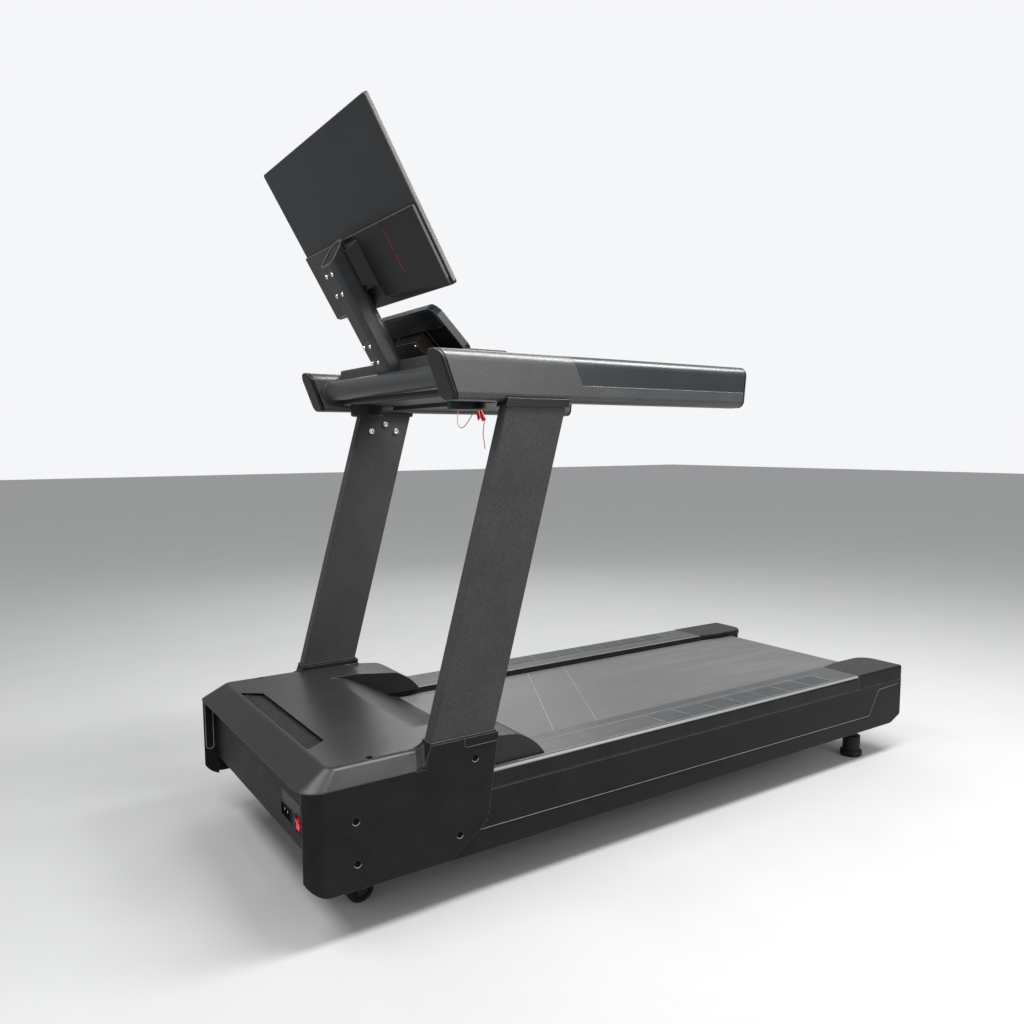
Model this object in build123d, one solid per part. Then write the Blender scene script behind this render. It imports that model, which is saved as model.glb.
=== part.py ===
from build123d import *
import os
from math import asin, cos, pi, radians, sin, tan

# Treadmill, in millimetres. +Y is the running direction, towards the motor hood, +X is the
# runner's right and +Z is up. The origin is on the floor, at the centre of the footprint.

# ---- driving dimensions: body ----
HALF_WIDTH = 460.0
Y_FRONT = 1150.0
Y_REAR = -1150.0
COVER_WALL = 4.5
COVER_LOW = 118.0
PANEL_FACE = 455.0
PANEL_WALL = 4.0
PANEL_LOW = 113.0
PANEL_HIGH = 271.0
RAIL_TOP = 322.0
RAIL_INNER = 304.0
RAIL_FRONT_END = 655.0
RAIL_REAR_END = -885.0
HOOD_SEAM = 368.0
HOOD_TOP = 409.0
HOOD_TOP_HALF = 424.0
HOOD_TOP_FRONT = 1077.0
HOOD_CREST = 792.0
HOOD_ROUND = 24.0
SHELL = 4.0
FIN_INNER = 281.0
FIN_OUTER = 433.0
FIN_TIP = 470.0
FIN_LOW = 322.5
TOWER_TOP = 421.0
TOWER_INNER = 411.5
FASCIA_FACE = 1108.0
LIP_INNER = 430.0

# ---- driving dimensions: running gear ----
BELT_TOP = 301.0
BELT_HALF = 302.0
BELT_THICK = 3.0
ROLLER_R = 37.5
BELT_GAP = 0.3
ROLLER_Z = BELT_TOP - BELT_THICK - BELT_GAP - ROLLER_R
FRONT_ROLLER_Y = 690.0
REAR_ROLLER_Y = -1059.0
DRUM_HALF = 308.0
SHAFT_R = 10.0
BEARING_R = 20.0
RUN_FIT = 0.05
FRAME_IN = 345.0
FRAME_OUT = 385.0
FRAME_LOW = 185.0
FRAME_HIGH = 280.0
FRAME_FRONT = 1095.0
FRAME_REAR = -1100.0
DECK_THICK = 20.0

# ---- driving dimensions: drive and lift ----
MOTOR_Y = 925.0
MOTOR_Z = 262.0
MOTOR_R = 58.0
PULLEY_X = -337.0
PULLEY_WIDE = 24.0
MOTOR_PULLEY_R = 30.0
ROLLER_PULLEY_R = 52.0
DRIVE_BELT_THICK = 3.5
LIFT_Y = 640.0
LIFT_Z = 150.0
LIFT_PIN_R = 10.0
WHEEL_Y = 955.0
WHEEL_R = 36.0
WHEEL_X0 = 285.0
WHEEL_X1 = 319.0
LIFT_ARM_X0 = 245.0
LIFT_ARM_X1 = 275.0
AXLE_R = 8.0
LEVER_X = 150.0
LEVER_Z = 203.0
FOOT_X = 385.0
FOOT_Y = -957.0

# ---- driving dimensions: uprights, arms, console ----
UPRIGHT_IN = 417.0
UPRIGHT_OUT = 455.0
UPRIGHT_DEEP = 181.0
UPRIGHT_BASE_Y = 643.0
UPRIGHT_BASE_Z = 425.0
UPRIGHT_SLOPE = 223.0 / 810.0
ARM_LOW = 1245.0
ARM_HIGH = 1366.0
ARM_IN = 386.0
ARM_OUT = 456.0
ARM_FRONT_TOP = 794.0
ARM_FRONT_LOW = 748.0
ARM_REAR_TOP = -262.0
ARM_REAR_LOW = -250.0
GRIP_SEAM_TOP = 404.0
GRIP_SEAM_LOW = 367.0
GRIP_LOW = 1290.0
TUBE_Y = 716.0
TUBE_Z = 1308.0
TUBE_R = 30.0
TRAY_FRONT = 683.0
TRAY_REAR = 505.0
TRAY_LOW = 1263.0
TRAY_HIGH = 1375.0
CUP_X = 309.0
CUP_Y = 630.0
CUP_R = 50.0
CUP_LOW = 1228.0
CONSOLE_HALF = 214.0
CONSOLE_LONG = 165.0
CONSOLE_THICK = 20.0
CONSOLE_ORIGIN = (0, 561.3, 1377.3)
CONSOLE_SLOPE = 45.0

# ---- driving dimensions: screen ----
SCREEN_TILT = 30.0
SCREEN_ORIGIN = (0, 692, 1530)
SCREEN_HALF = 358.5
SCREEN_HIGH = 461.0
SCREEN_THICK = 12.0
COVER_HIGH = 204.0
NECK_HALF = 40.0
NECK_FRONT = 122.0
NECK_BACK = 50.0

# ---- driving dimensions: lanyard ----
CORD_DIA = 2.4
KEY_X = 60.0
KEY_Z = 1300.0

os.makedirs("parts", exist_ok=True)


# ---- helpers ----
def block(x0, x1, y0, y1, z0, z1):
    """A box between two corners."""
    middle = ((x0 + x1) / 2, (y0 + y1) / 2, (z0 + z1) / 2)
    return Pos(*middle) * Box(abs(x1 - x0), abs(y1 - y0), abs(z1 - z0))


def rod_x(y, z, r, x0, x1):
    """A cylinder along X."""
    return Pos((x0 + x1) / 2, y, z) * Rot(0, 90, 0) * Cylinder(r, abs(x1 - x0))


def rod_y(x, z, r, y0, y1):
    """A cylinder along Y."""
    return Pos(x, (y0 + y1) / 2, z) * Rot(90, 0, 0) * Cylinder(r, abs(y1 - y0))


def rod_z(x, y, r, z0, z1):
    """A cylinder along Z."""
    return Pos(x, y, (z0 + z1) / 2) * Cylinder(r, abs(z1 - z0))


def outline(points, radii=None):
    """A closed face through the points, with one corner radius for each point, or none."""
    if radii is None:
        return make_face(Polyline(*points, close=True))
    face = make_face(Polyline(*points, close=True))
    for point, radius in zip(points, radii):
        if radius > 0:
            corner = face.vertices().sort_by_distance(Vector(point[0], point[1], 0))[0]
            face = fillet(corner, radius)
    return face


def prism_x(face, x0, x1):
    """A face drawn in (y, z), swept along X from x0 to x1."""
    return extrude(Plane(origin=(x0, 0, 0), x_dir=(0, 1, 0), z_dir=(1, 0, 0)) * face, x1 - x0)


def prism_y(face, y0, y1):
    """A face drawn in (x, z), swept along Y from y0 to y1."""
    plane = Plane(origin=(0, y1, 0), x_dir=(1, 0, 0), z_dir=(0, -1, 0))
    return extrude(plane * face, y1 - y0)


def prism_z(face, z0, z1):
    """A face drawn in (x, y), swept along Z from z0 to z1."""
    return extrude(Plane(origin=(0, 0, z0)) * face, z1 - z0)


def mirrored(shape):
    """The same piece on the other side of the machine."""
    return mirror(shape, about=Plane.YZ)


def both(*shapes):
    """The right-hand pieces and their mirror images."""
    return list(shapes) + [mirrored(shape) for shape in shapes]


def save(name, *shapes):
    """Write one node, made of one or more separate solids."""
    solids = [solid for shape in shapes for solid in shape.solids()]
    export_step(Compound(children=solids) if len(solids) > 1 else solids[0], f"parts/{name}.step")


def save_pair(name, shape):
    """Write the left-hand and right-hand copies of a right-hand piece."""
    save(f"{name}_right", shape)
    save(f"{name}_left", mirrored(shape))


def loop(y1, z1, r1, y2, z2, r2, x0, x1):
    """The solid inside a belt that runs round two pulleys."""
    span = Vector(y2 - y1, z2 - z1)
    lean = asin((r1 - r2) / span.length)
    along = span.normalized()
    across = Vector(-along.Y, along.X)
    corners = []
    for side in (1, -1):
        normal = along * sin(lean) + across * (side * cos(lean))
        first = Vector(y1, z1) + normal * r1
        second = Vector(y2, z2) + normal * r2
        pair = [(first.X, first.Y), (second.X, second.Y)]
        corners += pair if side == 1 else pair[::-1]
    return prism_x(outline(corners), x0, x1) + rod_x(y1, z1, r1, x0, x1) + rod_x(y2, z2, r2, x0, x1)


# ---- welded frame, in separate tubes and plates ----
def frame_rail():
    tube = block(FRAME_IN, FRAME_OUT, FRAME_REAR, FRAME_FRONT, FRAME_LOW, FRAME_HIGH)
    hollow = 4.0
    tube -= block(FRAME_IN + hollow, FRAME_OUT - hollow, FRAME_REAR, FRAME_FRONT,
                  FRAME_LOW + hollow, FRAME_HIGH - hollow)
    for y in (FRONT_ROLLER_Y, REAR_ROLLER_Y):
        tube -= rod_x(y, ROLLER_Z, SHAFT_R, FRAME_IN - 1, FRAME_OUT + 1)
    return tube


def foot_bracket():
    web = block(FRAME_IN, FRAME_OUT, FOOT_Y - 40, FOOT_Y - 14, 113, FRAME_LOW)
    web += block(FRAME_IN, FRAME_OUT, FOOT_Y + 14, FOOT_Y + 40, 113, FRAME_LOW)
    web += block(FRAME_IN, FOOT_X + 40, FOOT_Y - 50, FOOT_Y + 50, 105, 113)
    return web - rod_z(FOOT_X, FOOT_Y, AXLE_R + RUN_FIT, 100, 190)


def lift_hanger():
    plate = block(FRAME_IN, FRAME_OUT, LIFT_Y - 22, LIFT_Y + 22, LIFT_Z - 18, FRAME_LOW)
    return plate + rod_x(LIFT_Y, LIFT_Z, LIFT_PIN_R, FRAME_IN - 27, FRAME_IN)


def main_frame():
    pieces = both(frame_rail(), foot_bracket(), lift_hanger())
    pieces += both(block(FRAME_OUT, UPRIGHT_IN, 712, 878, 205, FRAME_HIGH - 2))
    for y in (-900, -450, 0, 450):
        pieces.append(block(-FRAME_IN, FRAME_IN, y - 30, y + 30, 236, BELT_TOP - BELT_THICK - DECK_THICK))
    front_cross = block(-FRAME_IN, FRAME_IN, 740, 770, FRAME_LOW, 204)
    pieces.append(front_cross - rod_y(LEVER_X, LEVER_Z, 12, 730, 780))
    pieces.append(block(-FRAME_IN, FRAME_IN, 1060, 1090, FRAME_LOW, 215))
    pieces.append(block(-FRAME_IN, FRAME_IN, 740, 1090, FRAME_LOW - 5, FRAME_LOW))
    cradle = block(-250, -120, MOTOR_Y - 45, MOTOR_Y + 45, FRAME_LOW, MOTOR_Z - 30)
    pieces.append(cradle - rod_x(MOTOR_Y, MOTOR_Z, MOTOR_R, -300, -80))
    save("main_frame", *pieces)


# ---- deck, belt and rollers ----
def belt_solid(extra, half):
    top = ROLLER_R + BELT_GAP + extra
    shape = block(-half, half, REAR_ROLLER_Y, FRONT_ROLLER_Y, ROLLER_Z - top, ROLLER_Z + top)
    for y in (FRONT_ROLLER_Y, REAR_ROLLER_Y):
        shape += rod_x(y, ROLLER_Z, top, -half, half)
    return shape


def drum(y):
    shape = rod_x(y, ROLLER_Z, ROLLER_R, -DRUM_HALF, DRUM_HALF)
    shape -= rod_x(y, ROLLER_Z, ROLLER_R - 4, 12 - DRUM_HALF, DRUM_HALF - 12)
    return shape - rod_x(y, ROLLER_Z, BEARING_R + RUN_FIT, -DRUM_HALF - 1, DRUM_HALF + 1)


def roller_shaft(y):
    shaft = rod_x(y, ROLLER_Z, SHAFT_R, -FRAME_OUT, FRAME_OUT)
    ring = rod_x(y, ROLLER_Z, BEARING_R, DRUM_HALF - 12, DRUM_HALF) - rod_x(
        y, ROLLER_Z, SHAFT_R, DRUM_HALF - 13, DRUM_HALF + 1)
    return [shaft] + both(ring)


def running_gear():
    save("running_deck", block(-290, 290, -1000, 630, BELT_TOP - BELT_THICK - DECK_THICK,
                               BELT_TOP - BELT_THICK))
    save("running_belt", belt_solid(BELT_THICK, BELT_HALF) - belt_solid(0, BELT_HALF + 1))
    save("front_roller", drum(FRONT_ROLLER_Y))
    save("rear_roller", drum(REAR_ROLLER_Y))
    tension_bolt = rod_y((FRAME_IN + FRAME_OUT) / 2, ROLLER_Z, 6, Y_REAR + 12, FRAME_REAR)
    save("roller_shafts", *roller_shaft(FRONT_ROLLER_Y), *roller_shaft(REAR_ROLLER_Y),
         *both(tension_bolt))


# ---- drive motor, pulleys and controller ----
def pulley(y, z, r, bore):
    wheel = rod_x(y, z, r, PULLEY_X, PULLEY_X + PULLEY_WIDE)
    groove = rod_x(y, z, r + 1, PULLEY_X + 2, PULLEY_X + PULLEY_WIDE - 2)
    wheel -= groove - rod_x(y, z, r - 2, PULLEY_X, PULLEY_X + PULLEY_WIDE)
    return wheel - rod_x(y, z, bore, PULLEY_X - 1, PULLEY_X + PULLEY_WIDE + 6)


def drive():
    hub = rod_x(FRONT_ROLLER_Y, ROLLER_Z, 32, PULLEY_X + PULLEY_WIDE, -DRUM_HALF)
    hub -= rod_x(FRONT_ROLLER_Y, ROLLER_Z, 22, PULLEY_X, -DRUM_HALF + 1)
    save("roller_pulley", pulley(FRONT_ROLLER_Y, ROLLER_Z, ROLLER_PULLEY_R, 22) + hub)
    save("motor_pulley", pulley(MOTOR_Y, MOTOR_Z, MOTOR_PULLEY_R, AXLE_R))
    inner = 1.7
    x0, x1 = PULLEY_X + 4, PULLEY_X + PULLEY_WIDE - 4
    outer_loop = loop(FRONT_ROLLER_Y, ROLLER_Z, ROLLER_PULLEY_R - inner + DRIVE_BELT_THICK,
                      MOTOR_Y, MOTOR_Z, MOTOR_PULLEY_R - inner + DRIVE_BELT_THICK, x0, x1)
    inner_loop = loop(FRONT_ROLLER_Y, ROLLER_Z, ROLLER_PULLEY_R - inner,
                      MOTOR_Y, MOTOR_Z, MOTOR_PULLEY_R - inner, x0 - 1, x1 + 1)
    save("drive_belt", outer_loop - inner_loop)
    can = rod_x(MOTOR_Y, MOTOR_Z, MOTOR_R, -285, -85)
    can -= rod_x(MOTOR_Y, MOTOR_Z, MOTOR_R - 5, -278, -92)
    can -= rod_x(MOTOR_Y, MOTOR_Z, AXLE_R + RUN_FIT, -290, -80)
    save("drive_motor", can)
    shaft = rod_x(MOTOR_Y, MOTOR_Z, AXLE_R, PULLEY_X - 3, -25)
    save("motor_shaft", shaft + rod_x(MOTOR_Y, MOTOR_Z, MOTOR_R - 9, -262, -108))
    wheel = rod_x(MOTOR_Y, MOTOR_Z, 74, -58, -30)
    wheel -= rod_x(MOTOR_Y, MOTOR_Z, 62, -59, -52) - rod_x(MOTOR_Y, MOTOR_Z, 24, -60, -50)
    save("flywheel", wheel - rod_x(MOTOR_Y, MOTOR_Z, AXLE_R, -60, -28))
    box = block(215, 330, 830, 1040, FRAME_LOW, 262)
    for k in range(9):
        fin_y = 840 + 23 * k
        box += block(220, 325, fin_y, fin_y + 6, 262, 284)
    save("motor_controller", box)


# ---- incline lift ----
def lift():
    arm = outline([(LIFT_Y - 8, LIFT_Z - 15), (LIFT_Y + 14, LIFT_Z + 14),
                   (WHEEL_Y + 16, WHEEL_R + 15), (WHEEL_Y + 16, WHEEL_R - 15),
                   (WHEEL_Y - 6, WHEEL_R - 15)])
    hinge_tube = rod_x(LIFT_Y, LIFT_Z, 17, -FRAME_IN + 1, FRAME_IN - 1)
    hinge_tube -= rod_x(LIFT_Y, LIFT_Z, LIFT_PIN_R + RUN_FIT, -FRAME_IN, FRAME_IN)
    side = prism_x(arm, LIFT_ARM_X0, LIFT_ARM_X1)
    side -= rod_x(LIFT_Y, LIFT_Z, 17, LIFT_ARM_X0 - 1, LIFT_ARM_X1 + 1)
    axle = rod_x(WHEEL_Y, WHEEL_R, AXLE_R, LIFT_ARM_X1, WHEEL_X1 + 6)
    washer = rod_x(WHEEL_Y, WHEEL_R, 14, WHEEL_X0 - 5, WHEEL_X0 - 1)
    washer -= rod_x(WHEEL_Y, WHEEL_R, AXLE_R, WHEEL_X0 - 6, WHEEL_X0)
    cap = rod_x(WHEEL_Y, WHEEL_R, 14, WHEEL_X1 + 1, WHEEL_X1 + 6)
    cap -= rod_x(WHEEL_Y, WHEEL_R, AXLE_R, WHEEL_X1, WHEEL_X1 + 7)
    lever = block(LEVER_X - 5, LEVER_X + 5, LIFT_Y - 11, LIFT_Y + 11, LIFT_Z, LEVER_Z + 4)
    lever += rod_x(LIFT_Y, LEVER_Z + 1, 11, LEVER_X - 5, LEVER_X + 5)
    lever -= rod_x(LIFT_Y, LIFT_Z, 17, LEVER_X - 6, LEVER_X + 6)
    save("lift_frame", hinge_tube, lever, *both(side, axle, washer, cap))
    tyre = rod_x(WHEEL_Y, WHEEL_R, WHEEL_R, WHEEL_X0, WHEEL_X1)
    tyre = fillet(tyre.edges().filter_by(GeomType.CIRCLE), 4)
    hollow = rod_x(WHEEL_Y, WHEEL_R, 26, WHEEL_X1 - 5, WHEEL_X1 + 1)
    hollow -= rod_x(WHEEL_Y, WHEEL_R, 14, WHEEL_X1 - 6, WHEEL_X1 + 2)
    tyre -= hollow
    save_pair("lift_wheel", tyre - rod_x(WHEEL_Y, WHEEL_R, AXLE_R + RUN_FIT, WHEEL_X0 - 1, WHEEL_X1 + 1))
    rod = rod_y(LEVER_X, LEVER_Z, 9, 676, 860)
    fork = block(LEVER_X - 10.5, LEVER_X + 10.5, 625, 678, LEVER_Z - 10, LEVER_Z + 10)
    fork -= block(LEVER_X - 6, LEVER_X + 6, 620, 664, LEVER_Z - 12, LEVER_Z + 12)
    save("lift_screw", rod + fork)
    gearbox = block(LEVER_X - 35, LEVER_X + 35, 830, 900, FRAME_LOW, 262)
    gearbox += rod_y(LEVER_X, LEVER_Z, 15, 800, 830)
    gearbox += rod_y(LEVER_X, 232, 30, 900, 1040)
    save("lift_motor", gearbox - rod_y(LEVER_X, LEVER_Z, 9 + RUN_FIT, 790, 890))


# ---- side covers with the upright shrouds ----
def upright_face(z0, z1, inset=0.0):
    """The leaning side view of an upright between two heights."""
    def at(z, offset):
        return (UPRIGHT_BASE_Y - (z - UPRIGHT_BASE_Z) * UPRIGHT_SLOPE + offset, z)
    return outline([at(z0, inset), at(z0, UPRIGHT_DEEP - inset), at(z1, UPRIGHT_DEEP - inset), at(z1, inset)])


COVER_SCREWS = ((1023, 283), (1021, 181), (749, 178), (703, 365))
SCREW_R = 8.5


COVER_CORNER = 60.0
LIP_SPAN = 90.0


def cover_plan(inset):
    """The cover seen from above, with its front corner rounded."""
    return outline([(HALF_WIDTH - inset, 620 - inset), (HALF_WIDTH - inset, Y_FRONT - inset),
                    (HALF_WIDTH - LIP_SPAN, Y_FRONT - inset), (HALF_WIDTH - LIP_SPAN, 620 - inset)],
                   [0, COVER_CORNER - inset, 0, 0])


def side_cover():
    wall = COVER_WALL
    hollow = prism_z(cover_plan(wall), COVER_LOW - 1, TOWER_TOP + 1)
    hollow -= block(0, LIP_INNER + wall, FASCIA_FACE - 8, Y_FRONT, 0, 500)
    wrap = prism_z(cover_plan(0), COVER_LOW, TOWER_TOP) - hollow
    wrap -= block(0, LIP_INNER, 600, Y_FRONT + 1, 0, 500)
    side = outline([(Y_FRONT, HOOD_SEAM), (Y_FRONT, COVER_LOW), (775, COVER_LOW), (668, 190),
                    (634, TOWER_TOP), (826, TOWER_TOP), (847, HOOD_SEAM)],
                   [0, 70, 60, 80, 2, 3, 0])
    wrap = wrap & prism_x(side, LIP_INNER - 70, HALF_WIDTH + 1)
    tower = prism_x(outline([(644, 330), (634.5, TOWER_TOP), (826, TOWER_TOP), (846.5, HOOD_SEAM + 4),
                             (846.5, 330)]), TOWER_INNER, HALF_WIDTH - wall)
    tower -= prism_x(upright_face(300, 460, -0.5), UPRIGHT_IN - 0.5, HALF_WIDTH)
    cover = wrap + tower
    for y, z in COVER_SCREWS:
        cover -= rod_x(y, z, SCREW_R + 0.5, HALF_WIDTH - wall - 1, HALF_WIDTH + 1)
    return cover


# ---- motor hood ----
def hood_section(half, front, radius, z):
    face = outline([(-half, HOOD_CREST), (-half, front), (half, front), (half, HOOD_CREST)],
                   [0, radius, radius, 0])
    return Plane(origin=(0, 0, z)) * face


def hood_loft(inset):
    low = hood_section(HALF_WIDTH - inset, Y_FRONT - inset, 60 - inset, HOOD_SEAM - inset)
    high = hood_section(HOOD_TOP_HALF - inset, HOOD_TOP_FRONT - inset, 26 - inset, HOOD_TOP - inset)
    body = loft([low.face(), high.face()])
    rim = body.faces().sort_by(Axis.Z)[-1].edges().filter_by(lambda e: e.center().Y > HOOD_CREST + 1)
    return fillet(rim, HOOD_ROUND - 5 * inset)


def fin_face(inset):
    top = HOOD_TOP - inset
    tip = (FIN_TIP + 2 * inset, FIN_LOW)
    line = Polyline(tip, (HOOD_CREST, FIN_LOW), (HOOD_CREST, top), (700, top), (560, 392 - inset))
    arc = ThreePointArc((560, 392 - inset), (514 + inset / 2, 368 - inset), tip)
    return make_face(line + arc)


def ramp_face():
    crest = (HOOD_CREST, HOOD_TOP)
    toe = (552.0, 308.0)
    upper = Spline(crest, (640, 347), toe, tangents=[(-1, -0.12), (-1, -0.25)])
    lower = Spline((crest[0], crest[1] - SHELL), (640, 347 - SHELL), (toe[0], toe[1] - SHELL),
                   tangents=[(-1, -0.12), (-1, -0.25)])
    ends = Line(toe, (toe[0], toe[1] - SHELL)) + Line(crest, (crest[0], crest[1] - SHELL))
    return make_face(upper + lower + ends)


VENT = ((-284, 1069), (284, 1069), (242, 1012), (-242, 1012))
HOOD_SCREW = (411, 967)


def motor_hood():
    hood = hood_loft(0) - hood_loft(SHELL)
    fin = prism_x(fin_face(0), FIN_INNER, FIN_OUTER)
    fin -= prism_x(fin_face(SHELL), FIN_INNER + SHELL, FIN_OUTER - SHELL)
    fin -= block(TOWER_INNER - 0.5, FIN_OUTER + 1, 634, HOOD_CREST + 1, 0, 500)
    fin += block(TOWER_INNER - 0.5 - SHELL, TOWER_INNER - 0.5, 634, HOOD_CREST, 340, HOOD_TOP - 1)
    hood += both(fin)
    hood += prism_x(ramp_face(), -FIN_INNER, FIN_INNER)
    for side in (-1, 1):
        x0, x1 = sorted((side * (TOWER_INNER - 0.5), side * (HALF_WIDTH + 1)))
        hood -= block(x0, x1, 634, 848, 300, 500)
        hood -= rod_z(side * HOOD_SCREW[0], HOOD_SCREW[1], SCREW_R + 0.5, 380, 420)
    return hood - prism_z(outline(VENT, [5, 5, 5, 5]), 380, 420)


def shells():
    save_pair("side_cover", side_cover())
    save("motor_hood", motor_hood())
    grown = [(x + (4 if x > 0 else -4), y + (3 if y > 1040 else -6)) for x, y in VENT]
    save("vent_grille", prism_z(outline(grown), HOOD_TOP - SHELL - 4, HOOD_TOP - SHELL))
    screws = []
    for y, z in COVER_SCREWS:
        screw = rod_x(y, z, SCREW_R, PANEL_FACE + 0.6, HALF_WIDTH - 2.5)
        socket = rod_x(y, z, 3, HALF_WIDTH - 4, HALF_WIDTH)
        screws += both(screw - socket)
    top_screw = rod_z(*HOOD_SCREW, SCREW_R, 396, HOOD_TOP - 3)
    screws += both(top_screw - rod_z(*HOOD_SCREW, 3, 404, HOOD_TOP))
    save("cover_screws", *screws)


# ---- fascia with the mains inlet and the rocker switch ----
INLET = (-264.0, -190.0, 222.0, 262.0)
PIN_X = (-204.0, -227.0, -250.0)
SWITCH = (-324.0, -300.0, 227.0, 257.0)
ROCKER_TILT = 8.0
FASCIA_WALL = 4.0
FASCIA_LOW = 186.0
FASCIA_HIGH = 384.0
FASCIA_NECK = 390.0    # half width of the part behind the hood's rounded edge


def fascia():
    back = FASCIA_FACE - FASCIA_WALL
    shoulder = HOOD_SEAM - 4
    edge = LIP_INNER - 0.5
    x0, x1, z0, z1 = INLET
    s0, s1, t0, t1 = SWITCH

    def strip(left, right, low=FASCIA_LOW, high=shoulder):
        return block(left, right, back, FASCIA_FACE, low, high)

    save("front_fascia", strip(-edge, s0), strip(s0, s1, high=t0), strip(s0, s1, low=t1), strip(s1, x0),
         strip(x0, x1, high=z0), strip(x0, x1, low=z1), strip(x1, edge),
         strip(-FASCIA_NECK, FASCIA_NECK, shoulder, FASCIA_HIGH))
    housing = block(x0, x1, FASCIA_FACE - 24, FASCIA_FACE + 1.5, z0, z1)
    housing -= block(x0 + 4, x1 - 4, FASCIA_FACE - 20, FASCIA_FACE + 2, z0 + 4, z1 - 4)
    save("power_inlet", housing)
    middle = (z0 + z1) / 2
    save("inlet_pins", *[block(x - 1.5, x + 1.5, FASCIA_FACE - 20, FASCIA_FACE - 3, middle - 5, middle + 3)
                         for x in PIN_X])
    centre = (t0 + t1) / 2
    rocker = outline([(FASCIA_FACE - 10, centre - 11), (FASCIA_FACE + 4.5, centre - 12.5), (FASCIA_FACE + 1.5, centre),
                      (FASCIA_FACE + 4.5, centre + 12.5), (FASCIA_FACE - 10, centre + 11)])
    pivot = Pos(0, FASCIA_FACE - 2, centre)
    rocker = pivot * Rot(-ROCKER_TILT, 0, 0) * pivot.inverse() * prism_x(rocker, s0 + 1.5, s1 - 1.5)
    save("rocker_switch", rocker)


# ---- side panels and foot rails ----
def side_panel():
    corner = 10.0
    outer = outline([(PANEL_FACE, 775), (PANEL_FACE, Y_REAR), (370, Y_REAR), (370, 775)], [0, corner, 0, 0])
    inner = outline([(PANEL_FACE - PANEL_WALL, 776), (PANEL_FACE - PANEL_WALL, Y_REAR + PANEL_WALL),
                     (360, Y_REAR + PANEL_WALL), (360, 776)], [0, corner - PANEL_WALL, 0, 0])
    panel = prism_z(outer, PANEL_LOW, PANEL_HIGH) - prism_z(inner, PANEL_LOW - 1, PANEL_HIGH + 1)
    side = outline([(662, PANEL_HIGH), (662, 195), (775, 195), (775, PANEL_LOW), (-1090, PANEL_LOW),
                    (Y_REAR, 140), (Y_REAR, PANEL_HIGH)], [0, 0, 0, 0, 40, 20, 0])
    panel = panel & prism_x(side, 360, PANEL_FACE + 1)
    step = outline([(780, 100), (780, 174), (698, 174), (-952, 164), (-1005, 252), (-1160, 258), (-1160, 100)])
    return panel - prism_x(step, PANEL_FACE - 1.5, PANEL_FACE + 1)


def foot_rail():
    skin = outline([(RAIL_INNER, 304), (RAIL_INNER, RAIL_TOP), (PANEL_FACE, RAIL_TOP), (PANEL_FACE, 273),
                    (PANEL_FACE - 4, 273), (PANEL_FACE - 4, RAIL_TOP - 4), (RAIL_INNER + 4, RAIL_TOP - 4),
                    (RAIL_INNER + 4, 304)], [0, 4, 14, 0, 0, 10, 1, 0])
    rail = prism_y(skin, RAIL_REAR_END, RAIL_FRONT_END)
    for x in (FRAME_IN, FRAME_OUT - 4):
        rail += block(x, x + 4, RAIL_REAR_END, RAIL_FRONT_END, FRAME_HIGH, RAIL_TOP - 3)
    return rail


def end_cap():
    plan = outline([(RAIL_INNER, RAIL_REAR_END), (PANEL_FACE, RAIL_REAR_END), (PANEL_FACE, Y_REAR + 2),
                    (RAIL_INNER - 16, Y_REAR + 2), (RAIL_INNER - 16, RAIL_REAR_END - 90)],
                   [0, 0, 9, 62, 60])
    cap = prism_z(plan, 273, RAIL_TOP + 1)
    rim = cap.faces().sort_by(Axis.Z)[-1].edges().filter_by(lambda e: e.center().Y < RAIL_REAR_END - 1)
    cap = fillet(rim, 8)
    hollow = block(RAIL_INNER + 4, PANEL_FACE - 5, Y_REAR + 60, RAIL_REAR_END, 272, RAIL_TOP - 8)
    clear = block(RAIL_INNER - 20, 318, Y_REAR, RAIL_REAR_END, 270, 304)
    shaft = rod_x(REAR_ROLLER_Y, ROLLER_Z, BEARING_R, 300, PANEL_FACE - 5)
    inside = block(300, FRAME_OUT, FRAME_REAR - 40, RAIL_REAR_END, 272, FRAME_HIGH)
    return cap - hollow - clear - shaft - inside


TREAD_FIRST = 38.0
TREAD_STEP = 112.0
TREADS = 8


def rails():
    save_pair("side_panel", side_panel())
    save_pair("foot_rail", foot_rail())
    save("rear_end_caps", *both(end_cap()))
    strips = []
    for k in range(TREADS - 1):
        y = TREAD_FIRST - TREAD_STEP * k
        strips += both(block(365, 432, y - TREAD_STEP + 2.5, y - 2.5, RAIL_TOP, RAIL_TOP + 1.2))
    save("foot_treads", *strips)


def rear_feet():
    pad = rod_z(FOOT_X, FOOT_Y, 38, 0, 22)
    pad = chamfer(pad.edges().filter_by(GeomType.CIRCLE), 4)
    pad += rod_z(FOOT_X, FOOT_Y, 30, 22, 74)
    pad += rod_z(FOOT_X, FOOT_Y, 18, 14, 104.7)
    save_pair("rear_foot", pad + rod_z(FOOT_X, FOOT_Y, AXLE_R, 104, 160))


# ---- uprights, collars and arms ----
def upright():
    foot = 205.0
    tube = prism_x(upright_face(foot, ARM_LOW), UPRIGHT_IN, UPRIGHT_OUT)
    tube = fillet(tube.edges().filter_by(lambda e: abs(e.tangent_at(0.5).Z) > 0.9), 4)
    wall = 4.0
    return tube - prism_x(upright_face(foot - 5, ARM_LOW + 5, wall), UPRIGHT_IN + wall, UPRIGHT_OUT - wall)


def collar(z0, z1, grow):
    ring = prism_x(upright_face(z0, z1, -grow), UPRIGHT_IN - grow, UPRIGHT_OUT + grow)
    hole = prism_x(upright_face(z0 - 2, z1 + 2), UPRIGHT_IN, UPRIGHT_OUT)
    return ring - hole


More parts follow.
